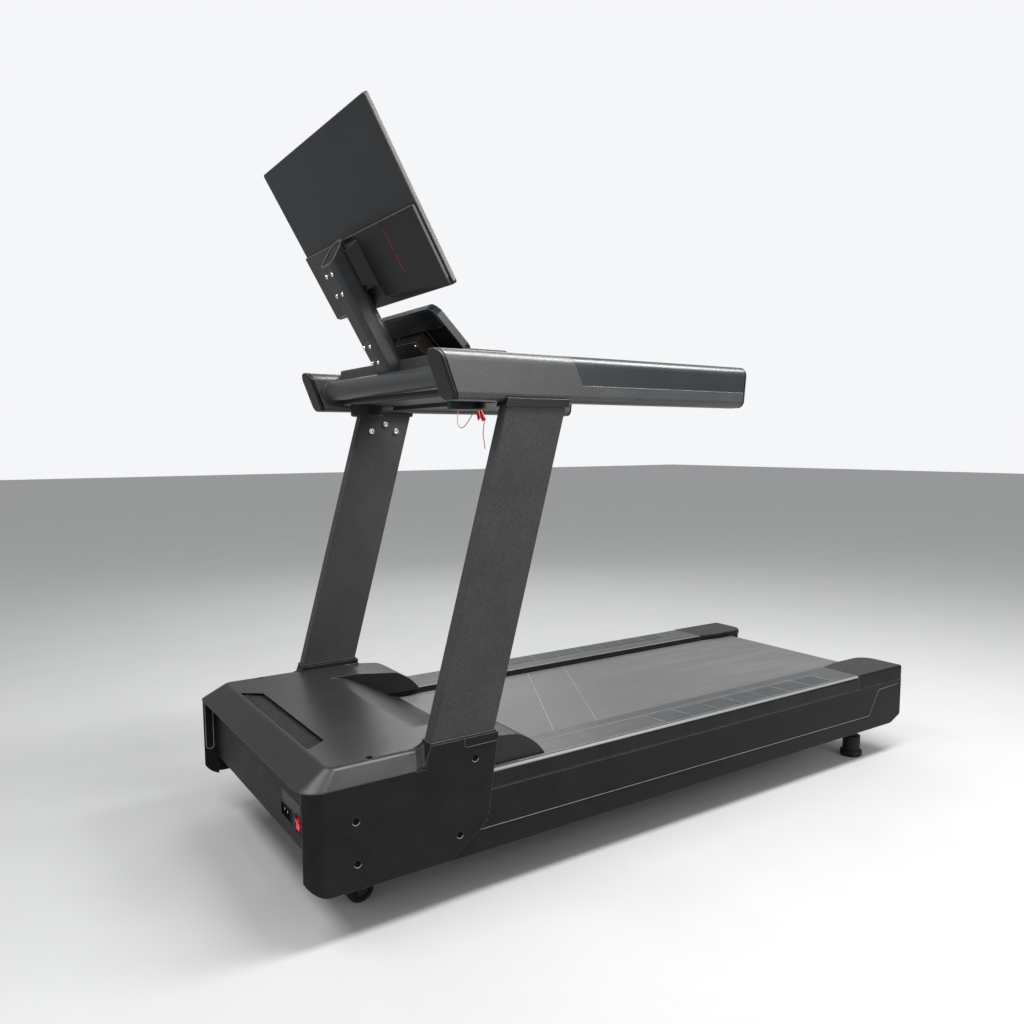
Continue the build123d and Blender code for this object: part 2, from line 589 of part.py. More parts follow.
def arm_face(inset):
    half = (ARM_OUT - ARM_IN) / 2 - inset
    low, high = ARM_LOW + inset, ARM_HIGH - inset
    mid = (ARM_IN + ARM_OUT) / 2
    return outline([(mid - half, low), (mid + half, low), (mid + half, high), (mid - half, high)],
                   [20 - inset, 20 - inset, 28 - inset, 28 - inset])


def arm_side(shift_front=0.0, shift_rear=0.0):
    """The side view of an arm, with its slanted ends moved inwards by the two shifts."""
    return outline([(ARM_FRONT_TOP - shift_front, ARM_HIGH), (ARM_FRONT_LOW - shift_front, ARM_LOW),
                    (ARM_REAR_LOW + shift_rear, ARM_LOW), (ARM_REAR_TOP + shift_rear, ARM_HIGH)])


CAP_FRONT = 14.0
CAP_REAR = 10.0


def arms():
    whole = prism_y(arm_face(0), -320, 860)
    core = prism_y(arm_face(6), -330, 870)
    cavity = prism_y(arm_face(10), -330, 870)
    middle = prism_x(arm_side(CAP_FRONT, CAP_REAR), ARM_IN - 1, ARM_OUT + 1)
    above = prism_x(outline([(GRIP_SEAM_TOP, ARM_HIGH + 5), (GRIP_SEAM_TOP, ARM_HIGH), (GRIP_SEAM_LOW, GRIP_LOW),
                             (-330, GRIP_LOW), (-330, ARM_HIGH + 5)]), ARM_IN - 2, ARM_OUT + 2)
    grip = (whole - core) & middle & above
    arm = (whole & middle) - above
    arm += core & middle & above
    arm -= cavity
    hand_tube = rod_x(TUBE_Y, TUBE_Z, TUBE_R, ARM_IN - 5, ARM_IN + 12)
    save_pair("arm", arm - hand_tube)
    save_pair("grip", grip)
    full = whole & prism_x(arm_side(), ARM_IN - 1, ARM_OUT + 1)
    front_cap = full & block(ARM_IN - 1, ARM_OUT + 1, 600, 900, 1200, 1400)
    front_cap -= prism_x(arm_side(CAP_FRONT, 0), ARM_IN - 1, ARM_OUT + 1)
    rear_cap = full & block(ARM_IN - 1, ARM_OUT + 1, -400, 0, 1200, 1400)
    rear_cap -= prism_x(arm_side(0, CAP_REAR), ARM_IN - 1, ARM_OUT + 1)
    save("arm_end_caps", *both(front_cap, rear_cap))
    top = collar(ARM_LOW - 12, ARM_LOW + 9, 5) - whole
    base = collar(TOWER_TOP, TOWER_TOP + 6, 3)
    save("upright_collars", *both(top, base))
    save_pair("upright", upright())
    tube = rod_x(TUBE_Y, TUBE_Z, TUBE_R, -ARM_IN - 12, ARM_IN + 12)
    tube -= rod_x(TUBE_Y, TUBE_Z, TUBE_R - 4, -ARM_IN - 13, ARM_IN + 13)
    ring = rod_x(TUBE_Y, TUBE_Z, TUBE_R + 2.5, ARM_IN - 12, ARM_IN) - rod_x(
        TUBE_Y, TUBE_Z, TUBE_R - 4, ARM_IN - 13, ARM_IN + 1)
    save("front_cross_tube", tube + both(ring))


# ---- console ----
CONSOLE = Plane(origin=CONSOLE_ORIGIN, x_dir=(1, 0, 0),
                z_dir=(0, -sin(radians(CONSOLE_SLOPE)), cos(radians(CONSOLE_SLOPE))))
BUTTONS = {"stop_button": (0.0, 62.0, 24.0), "start_button": (92.0, 62.0, 16.0)}
BUTTON_GAP = 0.3


def on_console(face, z0, z1):
    return extrude(CONSOLE.offset(z0) * face, z1 - z0)


def console_rect(half, low, high, radius):
    return Pos(0, (low + high) / 2) * RectangleRounded(2 * half, high - low, radius)


TRAY = [(TRAY_FRONT, TRAY_LOW), (TRAY_FRONT, TRAY_HIGH), (560, TRAY_HIGH), (TRAY_REAR, 1340), (TRAY_REAR, TRAY_LOW)]


def tray_body():
    return prism_x(outline(TRAY, [10, 6, 10, 6, 8]), -ARM_IN + 0.3, ARM_IN - 0.3)


def console():
    wall = 4.0
    tray = tray_body()
    inside = [(TRAY_FRONT - wall, TRAY_LOW + wall), (TRAY_FRONT - wall, TRAY_HIGH - wall), (561, TRAY_HIGH - wall),
              (TRAY_REAR + wall, 1338), (TRAY_REAR + wall, TRAY_LOW + wall)]
    tray -= prism_x(outline(inside), -ARM_IN, ARM_IN)
    cups = []
    for side in (-1, 1):
        x = side * CUP_X
        tray -= rod_z(x, CUP_Y, CUP_R, 1200, 1400)
        cup = rod_z(x, CUP_Y, CUP_R, CUP_LOW, TRAY_HIGH)
        cup = fillet(cup.edges().filter_by(GeomType.CIRCLE).sort_by(Axis.Z)[0], 6)
        cups.append(cup - rod_z(x, CUP_Y, CUP_R - 3, CUP_LOW + 3, TRAY_HIGH + 1))
    key_hole = rod_y(KEY_X, KEY_Z, 5 + RUN_FIT, TRAY_REAR - 1, TRAY_REAR + 10)
    lip = block(-ARM_IN + 30, ARM_IN - 30, TRAY_REAR + 8, TRAY_REAR + 10.5, TRAY_LOW - 12, TRAY_LOW + 1)
    save("console_tray", tray + lip - key_hole)
    save("cup_holders", *cups)
    shell = on_console(console_rect(CONSOLE_HALF, 0, CONSOLE_LONG, 30), 0, CONSOLE_THICK)
    shell -= on_console(console_rect(CONSOLE_HALF - 7, 7, CONSOLE_LONG - 7, 25), -1, CONSOLE_THICK - 5)
    shell += on_console(console_rect(195, 100, CONSOLE_LONG - 8, 14), 5, CONSOLE_THICK - 4)
    post = on_console(console_rect(72, 14, 96, 4), -34, CONSOLE_THICK - 4)
    post -= on_console(console_rect(36, 30, 90, 4), 0, CONSOLE_THICK)
    shell = (shell + post) - tray_body()
    face = on_console(console_rect(CONSOLE_HALF - 4, 4, CONSOLE_LONG - 4, 27), CONSOLE_THICK, CONSOLE_THICK + 3)
    for name, (x, y, radius) in BUTTONS.items():
        hole = on_console(Pos(x, y) * Circle(radius + BUTTON_GAP), 8, CONSOLE_THICK + 4)
        shell -= hole
        face -= hole
        cap = on_console(Pos(x, y) * Circle(radius), CONSOLE_THICK - 6, CONSOLE_THICK + 8)
        cap = chamfer(cap.edges().filter_by(GeomType.CIRCLE).sort_by(Axis.Z)[-1], 1.5)
        save(name, cap)
    save("console_shell", shell)
    save("console_face", face)


# ---- screen and its neck ----
SCREEN = Plane(origin=SCREEN_ORIGIN, x_dir=(1, 0, 0),
               z_dir=(0, -cos(radians(SCREEN_TILT)), sin(radians(SCREEN_TILT))))
ACROSS = Plane(origin=SCREEN_ORIGIN, x_dir=(1, 0, 0),
               z_dir=(0, sin(radians(SCREEN_TILT)), cos(radians(SCREEN_TILT))))
SIDEWAYS = Plane(origin=SCREEN_ORIGIN, x_dir=(0, cos(radians(SCREEN_TILT)), -sin(radians(SCREEN_TILT))),
                 z_dir=(1, 0, 0))
NECK_BOLTS = (139.0, 83.0, -71.0, -119.0)


def on_screen(face, z0, z1):
    """A face drawn in the screen's plane, swept along its front normal."""
    return extrude(SCREEN.offset(z0) * face, z1 - z0)


def along_screen(face, s0, s1):
    """A face drawn across the screen, in (x, distance behind it), swept up the screen."""
    return extrude(ACROSS.offset(s0) * face, s1 - s0)


def neck_section(inset):
    half = NECK_HALF - inset
    front, back = NECK_FRONT - inset, NECK_BACK + inset
    return outline([(-half, front), (half, front), (half, back), (-half, back)],
                   [16 - inset, 16 - inset, 32 - inset, 32 - inset])


def neck_top(offset):
    """Everything above the slanted end of the neck."""
    slope = 0.63
    face = outline([(-40, 204 + 100 * slope + offset), (160, 204 - 100 * slope + offset), (160, 320), (-40, 320)])
    return extrude(SIDEWAYS * face, 80, both=True)


def neck_solid(inset):
    return along_screen(neck_section(inset), -240, 230)


def screen():
    body = on_screen(Pos(0, SCREEN_HIGH / 2) * RectangleRounded(2 * SCREEN_HALF, SCREEN_HIGH, 8), 0, SCREEN_THICK)
    glass_rect = Pos(0, SCREEN_HIGH / 2) * RectangleRounded(2 * SCREEN_HALF - 8, SCREEN_HIGH - 8, 5)
    glass = on_screen(glass_rect, SCREEN_THICK - 3, SCREEN_THICK)
    save("screen_glass", glass)
    body -= glass
    save("screen_shell", body)
    half = SCREEN_HALF - 6
    wedge = outline([(-half, 0), (-half, 9), (-80, 42), (80, 42), (half, 9), (half, 0)])
    cover = along_screen(wedge, 0, COVER_HIGH)
    toe = outline([(-1, -1), (60, -1), (60, 46), (-1, -0.8)])
    cover -= extrude(SIDEWAYS * toe, 400, both=True)
    cover -= along_screen(outline([(-82, 6), (82, 6), (82, 60), (-82, 60)]), -1, 62)
    pod_base = SCREEN.offset(-42) * (Pos(0, 127) * Rectangle(152, 126))
    pod_face = SCREEN.offset(-70) * (Pos(0, 129) * Rectangle(92, 96))
    pod = loft([pod_base.face(), pod_face.face()])
    save("screen_cover", cover + (pod - neck_solid(0)))
    tube = rod_x(TUBE_Y, TUBE_Z, TUBE_R, -60, 60)
    neck = neck_solid(0) - neck_solid(6)
    plug = (neck_solid(5.9) & neck_top(-9)) - neck_top(-5)
    neck = (neck + plug) - neck_top(0)
    neck -= block(-60, 60, 500, 900, 1200, 1325) + tube + tray_body()
    save("screen_neck", neck)
    heads = []
    for s in NECK_BOLTS:
        for x in (-19, 19):
            head = on_screen(Pos(x, s) * Circle(6), -NECK_FRONT - 4.5, -NECK_FRONT)
            lowest = head.edges().filter_by(GeomType.CIRCLE).sort_by(Axis.Y)[-1]
            heads.append(fillet(lowest, 3))
    for y, z in ((567, 1184), (515, 1207), (477, 1184)):
        for side in (-1, 1):
            head = rod_x(y, z, 9, side * (UPRIGHT_IN - 5), side * UPRIGHT_IN)
            heads.append(head - rod_x(y, z, 4, side * (UPRIGHT_IN - 6), side * (UPRIGHT_IN - 2)))
    save("button_head_bolts", *heads)


# ---- safety key and lanyard ----
CORD_ROUTE = [(60, 489, 1300), (60, 463, 1300), (60, 446, 1282), (57, 441, 1257), (48, 448, 1232), (32, 459, 1208),
              (7, 470, 1193), (-26, 480, 1187), (-60, 488, 1192), (-92, 493, 1208), (-120, 497, 1227),
              (-144, 501, 1239), (-168, 505, 1243.5)]
TAIL_ROUTE = [(-199, 507, 1208), (-197, 508, 1193), (-193, 508, 1175), (-195, 509, 1158), (-201, 508, 1142),
              (-198, 506, 1127)]
CLIP_TOP = (-160.0, 514.25, 1254.0)
CLIP_SLANT = 42.0
CLIP_PIVOT = -30.0


def corner_radii(route):
    """The largest tangent arc for each corner: 0.45 of its shorter run."""
    radii = []
    for before, at, after in zip(route, route[1:], route[2:]):
        first = Vector(at) - Vector(before)
        second = Vector(after) - Vector(at)
        turn = first.get_angle(second)
        radii.append(0.45 * min(first.length, second.length) / tan(radians(turn) / 2))
    return radii


def cord(name, route):
    radii = corner_radii(route)
    path = FilletPolyline(*route, radius=radii)
    start = Plane(origin=route[0], z_dir=Vector(route[1]) - Vector(route[0]))
    tube = sweep(start * Circle(CORD_DIA / 2), path=path)
    section = pi * CORD_DIA ** 2 / 4
    print(name, "radii", [round(r, 1) for r in radii], "length", round(path.length, 1),
          "volume ratio", round(tube.volume / (section * path.length), 4))
    save(name, tube)


def lanyard():
    knob = rod_y(KEY_X, KEY_Z, 15, TRAY_REAR - 15, TRAY_REAR - 0.3)
    knob = chamfer(knob.edges().filter_by(GeomType.CIRCLE), 2)
    knob += rod_y(KEY_X, KEY_Z, 5, TRAY_REAR - 5, TRAY_REAR + 9)
    knob += rod_y(KEY_X, KEY_Z, 4, TRAY_REAR - 23, TRAY_REAR - 15)
    save("safety_key", knob - rod_y(KEY_X, KEY_Z, CORD_DIA / 2 + 0.3, TRAY_REAR - 30, TRAY_REAR - 8))
    cord("lanyard_cord", CORD_ROUTE)
    cord("lanyard_tail", TAIL_ROUTE)
    slant = Pos(*CLIP_TOP) * Rot(0, CLIP_SLANT, 0)
    plate = Pos(0, -3, -31) * Box(15, 3, 62)
    plate += Pos(0, -7, -14) * Rot(90, 0, 0) * Cylinder(4, 6)
    plate += Pos(0, -6, -60) * Rot(90, 0, 0) * Cylinder(4, 4)
    plate += Pos(0, -0.5, CLIP_PIVOT) * Rot(0, 90, 0) * Cylinder(1.5, 15)
    save("lanyard_clip", slant * plate)
    jaw = Pos(0, 3.2, CLIP_PIVOT / 2) * Box(13, 3, -CLIP_PIVOT)
    tail = Pos(0, 3.2, CLIP_PIVOT) * Rot(14, 0, 0) * Pos(0, 0, -15) * Box(13, 3, 30)
    save("clip_lever", slant * (jaw + tail))


main_frame()
running_gear()
drive()
lift()
shells()
fascia()
rails()
rear_feet()
arms()
console()
screen()
lanyard()
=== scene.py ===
import bpy
import bmesh
from math import cos, pi, radians, sin
from mathutils import Matrix, Vector


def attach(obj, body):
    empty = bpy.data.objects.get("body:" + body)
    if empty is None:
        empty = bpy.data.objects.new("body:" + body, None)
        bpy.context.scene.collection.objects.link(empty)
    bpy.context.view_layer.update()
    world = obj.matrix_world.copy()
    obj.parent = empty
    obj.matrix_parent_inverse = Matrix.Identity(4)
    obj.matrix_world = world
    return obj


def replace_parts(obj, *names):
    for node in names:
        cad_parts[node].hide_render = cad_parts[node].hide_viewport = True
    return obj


# Treadmill, in metres: +Y the running direction, +X the runner's right, +Z up.

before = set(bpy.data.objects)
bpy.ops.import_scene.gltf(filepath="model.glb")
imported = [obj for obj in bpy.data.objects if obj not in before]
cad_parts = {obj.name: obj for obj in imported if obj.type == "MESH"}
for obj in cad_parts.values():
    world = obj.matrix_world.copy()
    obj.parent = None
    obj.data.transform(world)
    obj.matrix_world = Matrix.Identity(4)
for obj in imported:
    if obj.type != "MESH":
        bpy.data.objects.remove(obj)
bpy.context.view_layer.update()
MM = 0.001
SIDES = (-1, 1)


# ---- camera ----
CAMERA_AT = (-2.1958, 1.7559, 1.1432)
YAW, PITCH, ROLL = radians(-33.55), radians(-6.14), radians(-0.21)


def make_camera():
    forward = Vector((cos(PITCH) * cos(YAW), cos(PITCH) * sin(YAW), sin(PITCH)))
    level = Vector((sin(YAW), -cos(YAW), 0))
    upward = level.cross(forward)
    right = cos(ROLL) * level + sin(ROLL) * upward
    up = cos(ROLL) * upward - sin(ROLL) * level
    data = bpy.data.cameras.new("camera")
    data.sensor_width = 36
    data.lens = 29.72
    data.shift_x = 0.0042
    data.shift_y = 0.0215
    camera = bpy.data.objects.new("camera", data)
    turn = Matrix((right, up, -forward)).transposed().to_4x4()
    camera.matrix_world = Matrix.Translation(CAMERA_AT) @ turn
    bpy.context.scene.collection.objects.link(camera)
    bpy.context.scene.camera = camera


make_camera()


# ---- materials ----
NOISE_LOW, NOISE_HIGH = 0.3, 0.7      # the span that most of a noise falls in


class Shading:
    """A new material, and the node steps that the surfaces are made of."""

    def __init__(self, name):
        self.material = bpy.data.materials.new(name)
        self.material.use_nodes = True
        self.nodes = self.material.node_tree.nodes
        self.links = self.material.node_tree.links
        self.shader = self.nodes["Principled BSDF"]
        self.place = self.nodes.new("ShaderNodeTexCoord").outputs["Object"]

    def feed(self, socket, value):
        """Fill a socket with another node's output, a colour or a number."""
        if isinstance(value, bpy.types.NodeSocket):
            self.links.new(value, socket)
        elif isinstance(value, tuple):
            socket.default_value = (*value, 1)
        else:
            socket.default_value = value

    def show(self, **values):
        """Fill the shader's sockets, named with _ for a space."""
        for key, value in values.items():
            self.feed(self.shader.inputs[key.replace("_", " ")], value)

    def noise(self, scale, detail=4.0, rough=0.6, stretch=None):
        texture = self.nodes.new("ShaderNodeTexNoise")
        for key, number in (("Scale", scale), ("Detail", detail), ("Roughness", rough)):
            texture.inputs[key].default_value = number
        place = self.place
        if stretch:
            mapping = self.nodes.new("ShaderNodeMapping")
            mapping.inputs["Scale"].default_value = stretch
            self.links.new(place, mapping.inputs["Vector"])
            place = mapping.outputs["Vector"]
        self.links.new(place, texture.inputs["Vector"])
        return texture.outputs["Fac"]

    def wave(self, direction, scale, distortion=0.0):
        texture = self.nodes.new("ShaderNodeTexWave")
        texture.bands_direction = direction
        texture.inputs["Scale"].default_value = scale
        texture.inputs["Distortion"].default_value = distortion
        self.links.new(self.place, texture.inputs["Vector"])
        return texture.outputs["Fac"]

    def spread(self, value, low, high, to_low, to_high):
        """The value carried from one range over to another and held at its ends."""
        step = self.nodes.new("ShaderNodeMapRange")
        for key, number in (("From Min", low), ("From Max", high), ("To Min", to_low), ("To Max", to_high)):
            step.inputs[key].default_value = number
        self.links.new(value, step.inputs["Value"])
        return step.outputs["Result"]

    def mix(self, factor, a, b):
        node = self.nodes.new("ShaderNodeMix")
        node.data_type = "RGBA"
        self.feed(node.inputs[0], factor)
        self.feed(node.inputs[6], a)
        self.feed(node.inputs[7], b)
        return node.outputs[2]

    def calculate(self, operation, *values):
        node = self.nodes.new("ShaderNodeMath")
        node.operation = operation
        for socket, value in zip(node.inputs, values):
            self.feed(socket, value)
        return node.outputs[0]

    def facing(self):
        return self.nodes.new("ShaderNodeNewGeometry").outputs["Normal"]

    def part_of(self, vector, axis):
        split = self.nodes.new("ShaderNodeSeparateXYZ")
        self.links.new(vector, split.inputs[0])
        return split.outputs[axis]

    def bump(self, height, strength, distance, normal=None):
        raised = self.nodes.new("ShaderNodeBump")
        raised.inputs["Strength"].default_value = strength
        raised.inputs["Distance"].default_value = distance
        self.links.new(height, raised.inputs["Height"])
        if normal:
            self.links.new(normal, raised.inputs["Normal"])
        return raised.outputs["Normal"]


def speckled(shade, colour, fine, mottle):
    """The colour with a fine speckle and wider blotches."""
    speckle = shade.spread(fine, 0.35, 0.75, 0.82, 1.25)
    blotches = shade.spread(shade.noise(230, 2.0, 0.5), NOISE_LOW, NOISE_HIGH, 1 - mottle, 1 + mottle)
    scaled = shade.nodes.new("ShaderNodeVectorMath")
    scaled.operation = "SCALE"
    shade.links.new(colour, scaled.inputs[0])
    shade.links.new(shade.calculate("MULTIPLY", speckle, blotches), scaled.inputs["Scale"])
    return scaled.outputs["Vector"]


def scratched(shade, colour, light, amount):
    lines = shade.noise(34, 2.0, 0.5, (9.0, 1.0, 7.0))
    bare = tuple(min(1, 2.6 * part + 0.03) for part in light)
    return shade.mix(shade.spread(lines, 0.70, 0.73, 0.0, amount), colour, bare)


def dust_and_sheen_on_tops(shade, colour, height, dust_and_sheen):
    """Dust on the faces that look up, which also serves as a painted sheen that lightens those tops."""
    top = shade.spread(height, 0.75, 1.0, 0.0, 1.0)
    cloud = shade.spread(shade.noise(22, 8.0, 0.75), NOISE_LOW, NOISE_HIGH, 0.36, 0.54)
    return shade.mix(shade.calculate("MULTIPLY", top, cloud), colour, dust_and_sheen)


def surface(name, dark, light, rough=(0.45, 0.6), grain=700, bump=0.15, depth=0.2 * MM, metallic=0.0,
            shine=0.5, patch=9.0, edge=None, edge_width=2 * MM, scratches=0.0, stretch=None, dust_and_sheen=None,
            mottle=0.15, shoulder=None):
    """A worn, finely grained surface: two tones in patches, a grain, and lighter edges, partly wear and
    partly a painted highlight.

    edge is the colour of sharp edges, partly wear and partly a painted highlight; shoulder is a painted
    highlight on faces that lean between side and top.
    """
    shade = Shading(name)
    broad = shade.noise(patch, 6.0, 0.65)
    fine = shade.noise(grain, 3.0, 0.7, stretch)
    colour = shade.mix(shade.spread(broad, NOISE_LOW, NOISE_HIGH, 0.0, 1.0), dark, light)
    colour = speckled(shade, colour, fine, mottle)
    if scratches:
        colour = scratched(shade, colour, light, scratches)
    height = shade.part_of(shade.facing(), "Z")
    # a painted highlight on faces that lean between side and top
    if shoulder:
        painted_highlight_band = shade.calculate("COMPARE", height, 0.72, 0.2)
        colour = shade.mix(painted_highlight_band, colour, shoulder)
    if dust_and_sheen:
        colour = dust_and_sheen_on_tops(shade, colour, height, dust_and_sheen)
    rounded = shade.nodes.new("ShaderNodeBevel")
    rounded.samples = 4
    rounded.inputs["Radius"].default_value = edge_width
    # the edge colour is partly wear and partly a painted highlight on the rounded edges
    if edge:
        same = shade.nodes.new("ShaderNodeVectorMath")
        same.operation = "DOT_PRODUCT"
        shade.links.new(rounded.outputs["Normal"], same.inputs[0])
        shade.links.new(shade.facing(), same.inputs[1])
        edge_wear_and_highlight = shade.spread(same.outputs["Value"], 0.985, 0.86, 0.0, 0.8)
        colour = shade.mix(edge_wear_and_highlight, colour, edge)
    shade.show(Base_Color=colour, Roughness=shade.spread(broad, 0.25, 0.75, *rough),
               Normal=shade.bump(fine, bump, depth, rounded.outputs["Normal"]),
               Metallic=metallic, Specular_IOR_Level=shine)
    return shade.material


def grey(value, warm=0.0):
    return (value * (1 + warm), value, value * (1 - warm))


# The edge colours below are partly wear and partly a painted highlight along the rounded edges.
BLACK_PLASTIC = surface("black_plastic", grey(0.004), grey(0.008), (0.4, 0.52), grain=900, bump=0.3,
                        edge=grey(0.05), edge_width=2.2 * MM, scratches=0.15, shine=0.1)
SIDE_PLASTIC = surface("side_plastic", grey(0.005, -0.06), grey(0.010, -0.06), (0.4, 0.5), grain=900,
                       bump=0.4, depth=0.3 * MM, edge=grey(0.14), edge_width=2.2 * MM, scratches=0.08,
                       shine=0.14)
# dust_and_sheen on the hood, rail and rear caps is partly dust and partly a painted sheen that lightens their
# tops.
HOOD_PLASTIC = surface("hood_plastic", grey(0.006), grey(0.010), (0.3, 0.38), grain=1100, bump=0.4,
                       depth=0.3 * MM, edge=grey(0.08), edge_width=2.4 * MM, scratches=0.2,
                       dust_and_sheen=grey(0.03, 0.04), shine=0.34)
# The rail's shoulder colour is a painted highlight along its rounded outer edge.
RAIL_PLASTIC = surface("rail_plastic", grey(0.007), grey(0.012), (0.28, 0.38), grain=900, bump=0.3,
                       edge=grey(0.3), edge_width=3 * MM, scratches=0.1, dust_and_sheen=grey(0.11, -0.02),
                       shine=0.13, shoulder=grey(0.16))
REAR_PLASTIC = surface("rear_plastic", grey(0.005), grey(0.009), (0.35, 0.45), grain=900, bump=0.35,
                       depth=0.3 * MM, edge=grey(0.09), edge_width=3 * MM, scratches=0.2,
                       dust_and_sheen=grey(0.05, -0.02), shine=0.12)
TREAD_RUBBER = surface("tread_rubber", grey(0.034, -0.08), grey(0.044, -0.08), (0.5, 0.62), grain=1300,
                       bump=0.6, depth=0.3 * MM, edge=grey(0.16), edge_width=1.4 * MM, shine=0.3)
POWDER = surface("powder_coat", grey(0.026, -0.03), grey(0.034, -0.03), (0.42, 0.52), grain=1500, bump=0.8,
                 depth=0.3 * MM, edge=grey(0.16), edge_width=2 * MM, scratches=0.08, shine=0.3, mottle=0.3)
ARM_PLASTIC = surface("arm_plastic", grey(0.044, -0.02), grey(0.056, -0.02), (0.3, 0.38), grain=1500,
                      bump=0.6, depth=0.25 * MM, edge=grey(0.2), edge_width=2.2 * MM, scratches=0.05,
                      shine=0.5, mottle=0.25)
GRIP_RUBBER = surface("grip_rubber", grey(0.018, -0.14), grey(0.024, -0.14), (0.3, 0.36), grain=1800,
                      bump=0.3, depth=0.1 * MM, edge=grey(0.2), edge_width=2.8 * MM)
CAP_PLASTIC = surface("cap_plastic", grey(0.006, -0.05), grey(0.010, -0.05), (0.32, 0.42), grain=1200,
                      bump=0.2, depth=0.1 * MM, edge=grey(0.14), edge_width=2.6 * MM, shine=0.3)
TRAY_PLASTIC = surface("tray_plastic", grey(0.022), grey(0.032), (0.42, 0.52), grain=1200, bump=0.4,
                       edge=grey(0.12), edge_width=2 * MM, shine=0.4)
SHELL_GLOSS = surface("console_gloss", grey(0.006, -0.25), grey(0.010, -0.25), (0.2, 0.3), grain=900,
                      bump=0.05, depth=0.1 * MM, edge=grey(0.42), edge_width=2.4 * MM)
SCREEN_PAINT = surface("screen_paint", grey(0.012, -0.12), grey(0.017, -0.12), (0.34, 0.44), grain=1400,
                       bump=0.45, edge=grey(0.3), edge_width=2.2 * MM, scratches=0.1, shine=0.4)
COVER_GLOSS = surface("screen_cover_satin", grey(0.007), grey(0.012), (0.3, 0.4), grain=1200, bump=0.15,
                      depth=0.1 * MM, edge=grey(0.08), edge_width=2 * MM, scratches=0.12, shine=0.35)
NECK_PAINT = surface("neck_paint", grey(0.024, -0.06), grey(0.032, -0.06), (0.3, 0.4), grain=1400, bump=0.4,
                     edge=grey(0.12), edge_width=2 * MM, scratches=0.12, shine=0.4)
DARK_TRIM = surface("dark_trim", grey(0.003), grey(0.005), (0.4, 0.55), grain=900, bump=0.2,
                    depth=0.1 * MM, shine=0.25)
MESH_BLACK = surface("grille_black", grey(0.014), grey(0.022), (0.4, 0.55), grain=1500, bump=0.2,
                     depth=0.1 * MM, edge=grey(0.09), edge_width=0.6 * MM, shine=0.3)
FRAME_PAINT = surface("frame_paint", grey(0.008), grey(0.013), (0.45, 0.6), grain=1100, bump=0.4,
                      depth=0.3 * MM, edge=grey(0.05), edge_width=1.5 * MM, scratches=0.2, shine=0.3)
DECK_BOARD = surface("deck_board", (0.035, 0.024, 0.016), (0.06, 0.042, 0.028), (0.5, 0.65), grain=260,
                     bump=0.3, depth=0.3 * MM, stretch=(6.0, 0.4, 1.0))
STEEL = surface("machined_steel", grey(0.42), grey(0.55), (0.22, 0.36), grain=500, bump=0.25,
                depth=0.1 * MM, metallic=1.0, stretch=(8.0, 1.0, 1.0))
CAST_IRON = surface("cast_iron", grey(0.16), grey(0.24), (0.35, 0.55), grain=700, bump=0.4,
                    depth=0.3 * MM, metallic=1.0)
ALLOY = surface("controller_alloy", grey(0.4), grey(0.5), (0.3, 0.45), grain=900, bump=0.25, metallic=1.0)
BOLT_STEEL = surface("bolt_chrome", grey(0.75, 0.02), grey(0.9, 0.02), (0.14, 0.26), grain=900, bump=0.1,
                     depth=0.1 * MM, metallic=1.0, patch=60.0)
# Near-black, dull screw heads: black screws darkened further as painted shade, so that they read as dark
# holes.
SCREW_IN_SHADE = surface("screw_black", grey(0.002), grey(0.004), (0.4, 0.55), grain=900, bump=0.2,
                      depth=0.1 * MM, shine=0.05, edge=grey(0.02), edge_width=0.6 * MM)
BRASS = surface("pin_brass", (0.7, 0.48, 0.2), (0.9, 0.68, 0.36), (0.18, 0.3), grain=900, bump=0.1,
                depth=0.1 * MM, metallic=1.0)
TYRE = surface("wheel_rubber", grey(0.007), grey(0.012), (0.6, 0.75), grain=700, bump=0.5,
               depth=0.3 * MM, shine=0.25)
STOP_RED = surface("stop_red", (0.42, 0.008, 0.006), (0.55, 0.014, 0.01), (0.22, 0.34), grain=800,
                   bump=0.1, depth=0.1 * MM)
START_GREEN = surface("start_green", (0.012, 0.16, 0.03), (0.02, 0.24, 0.05), (0.22, 0.34), grain=800,
                      bump=0.1, depth=0.1 * MM)
CLIP_RED = surface("clip_red", (0.6, 0.006, 0.01), (0.75, 0.02, 0.03), (0.2, 0.32), grain=800, bump=0.1,
                   depth=0.1 * MM, edge=(0.9, 0.2, 0.18), edge_width=0.6 * MM)
ACCENT_RED = surface("accent_red", (0.16, 0.004, 0.006), (0.24, 0.008, 0.01), (0.35, 0.5), grain=800,
                     bump=0.1, depth=0.1 * MM)
BRACKET = surface("bracket_bronze", (0.06, 0.05, 0.042), (0.09, 0.076, 0.064), (0.35, 0.5), grain=900,
                  bump=0.2, depth=0.1 * MM, metallic=0.5, edge=(0.4, 0.38, 0.34), edge_width=1.5 * MM)
LIGHT_TRIM = surface("light_trim", grey(0.13), grey(0.18), (0.4, 0.5), grain=300, bump=0.02,
                     depth=0.1 * MM, shine=0.3)
FINE_LINE = surface("fine_line", grey(0.13), grey(0.2), (0.35, 0.5), grain=1200, depth=0.1 * MM)
PLATE = surface("rating_plate", grey(0.016, 0.06), grey(0.024, 0.06), (0.35, 0.45), grain=1200, bump=0.1,
                depth=0.1 * MM, edge=grey(0.06), edge_width=0.8 * MM, shine=0.2)
SEAM_HIGHLIGHT = surface("seam_highlight", grey(0.05), grey(0.08), (0.35, 0.5), grain=1200, depth=0.1 * MM)


def lit_red():
    """The rocker's red plastic, with a weak glow."""
    shade = Shading("switch_red")
    tone = shade.noise(160)
    colour = shade.mix(tone, (0.5, 0.006, 0.006), (0.75, 0.02, 0.02))
    shade.show(Base_Color=colour, Roughness=shade.spread(tone, NOISE_LOW, NOISE_HIGH, 0.18, 0.3),
               Emission_Color=colour, Emission_Strength=0.15)
    return shade.material


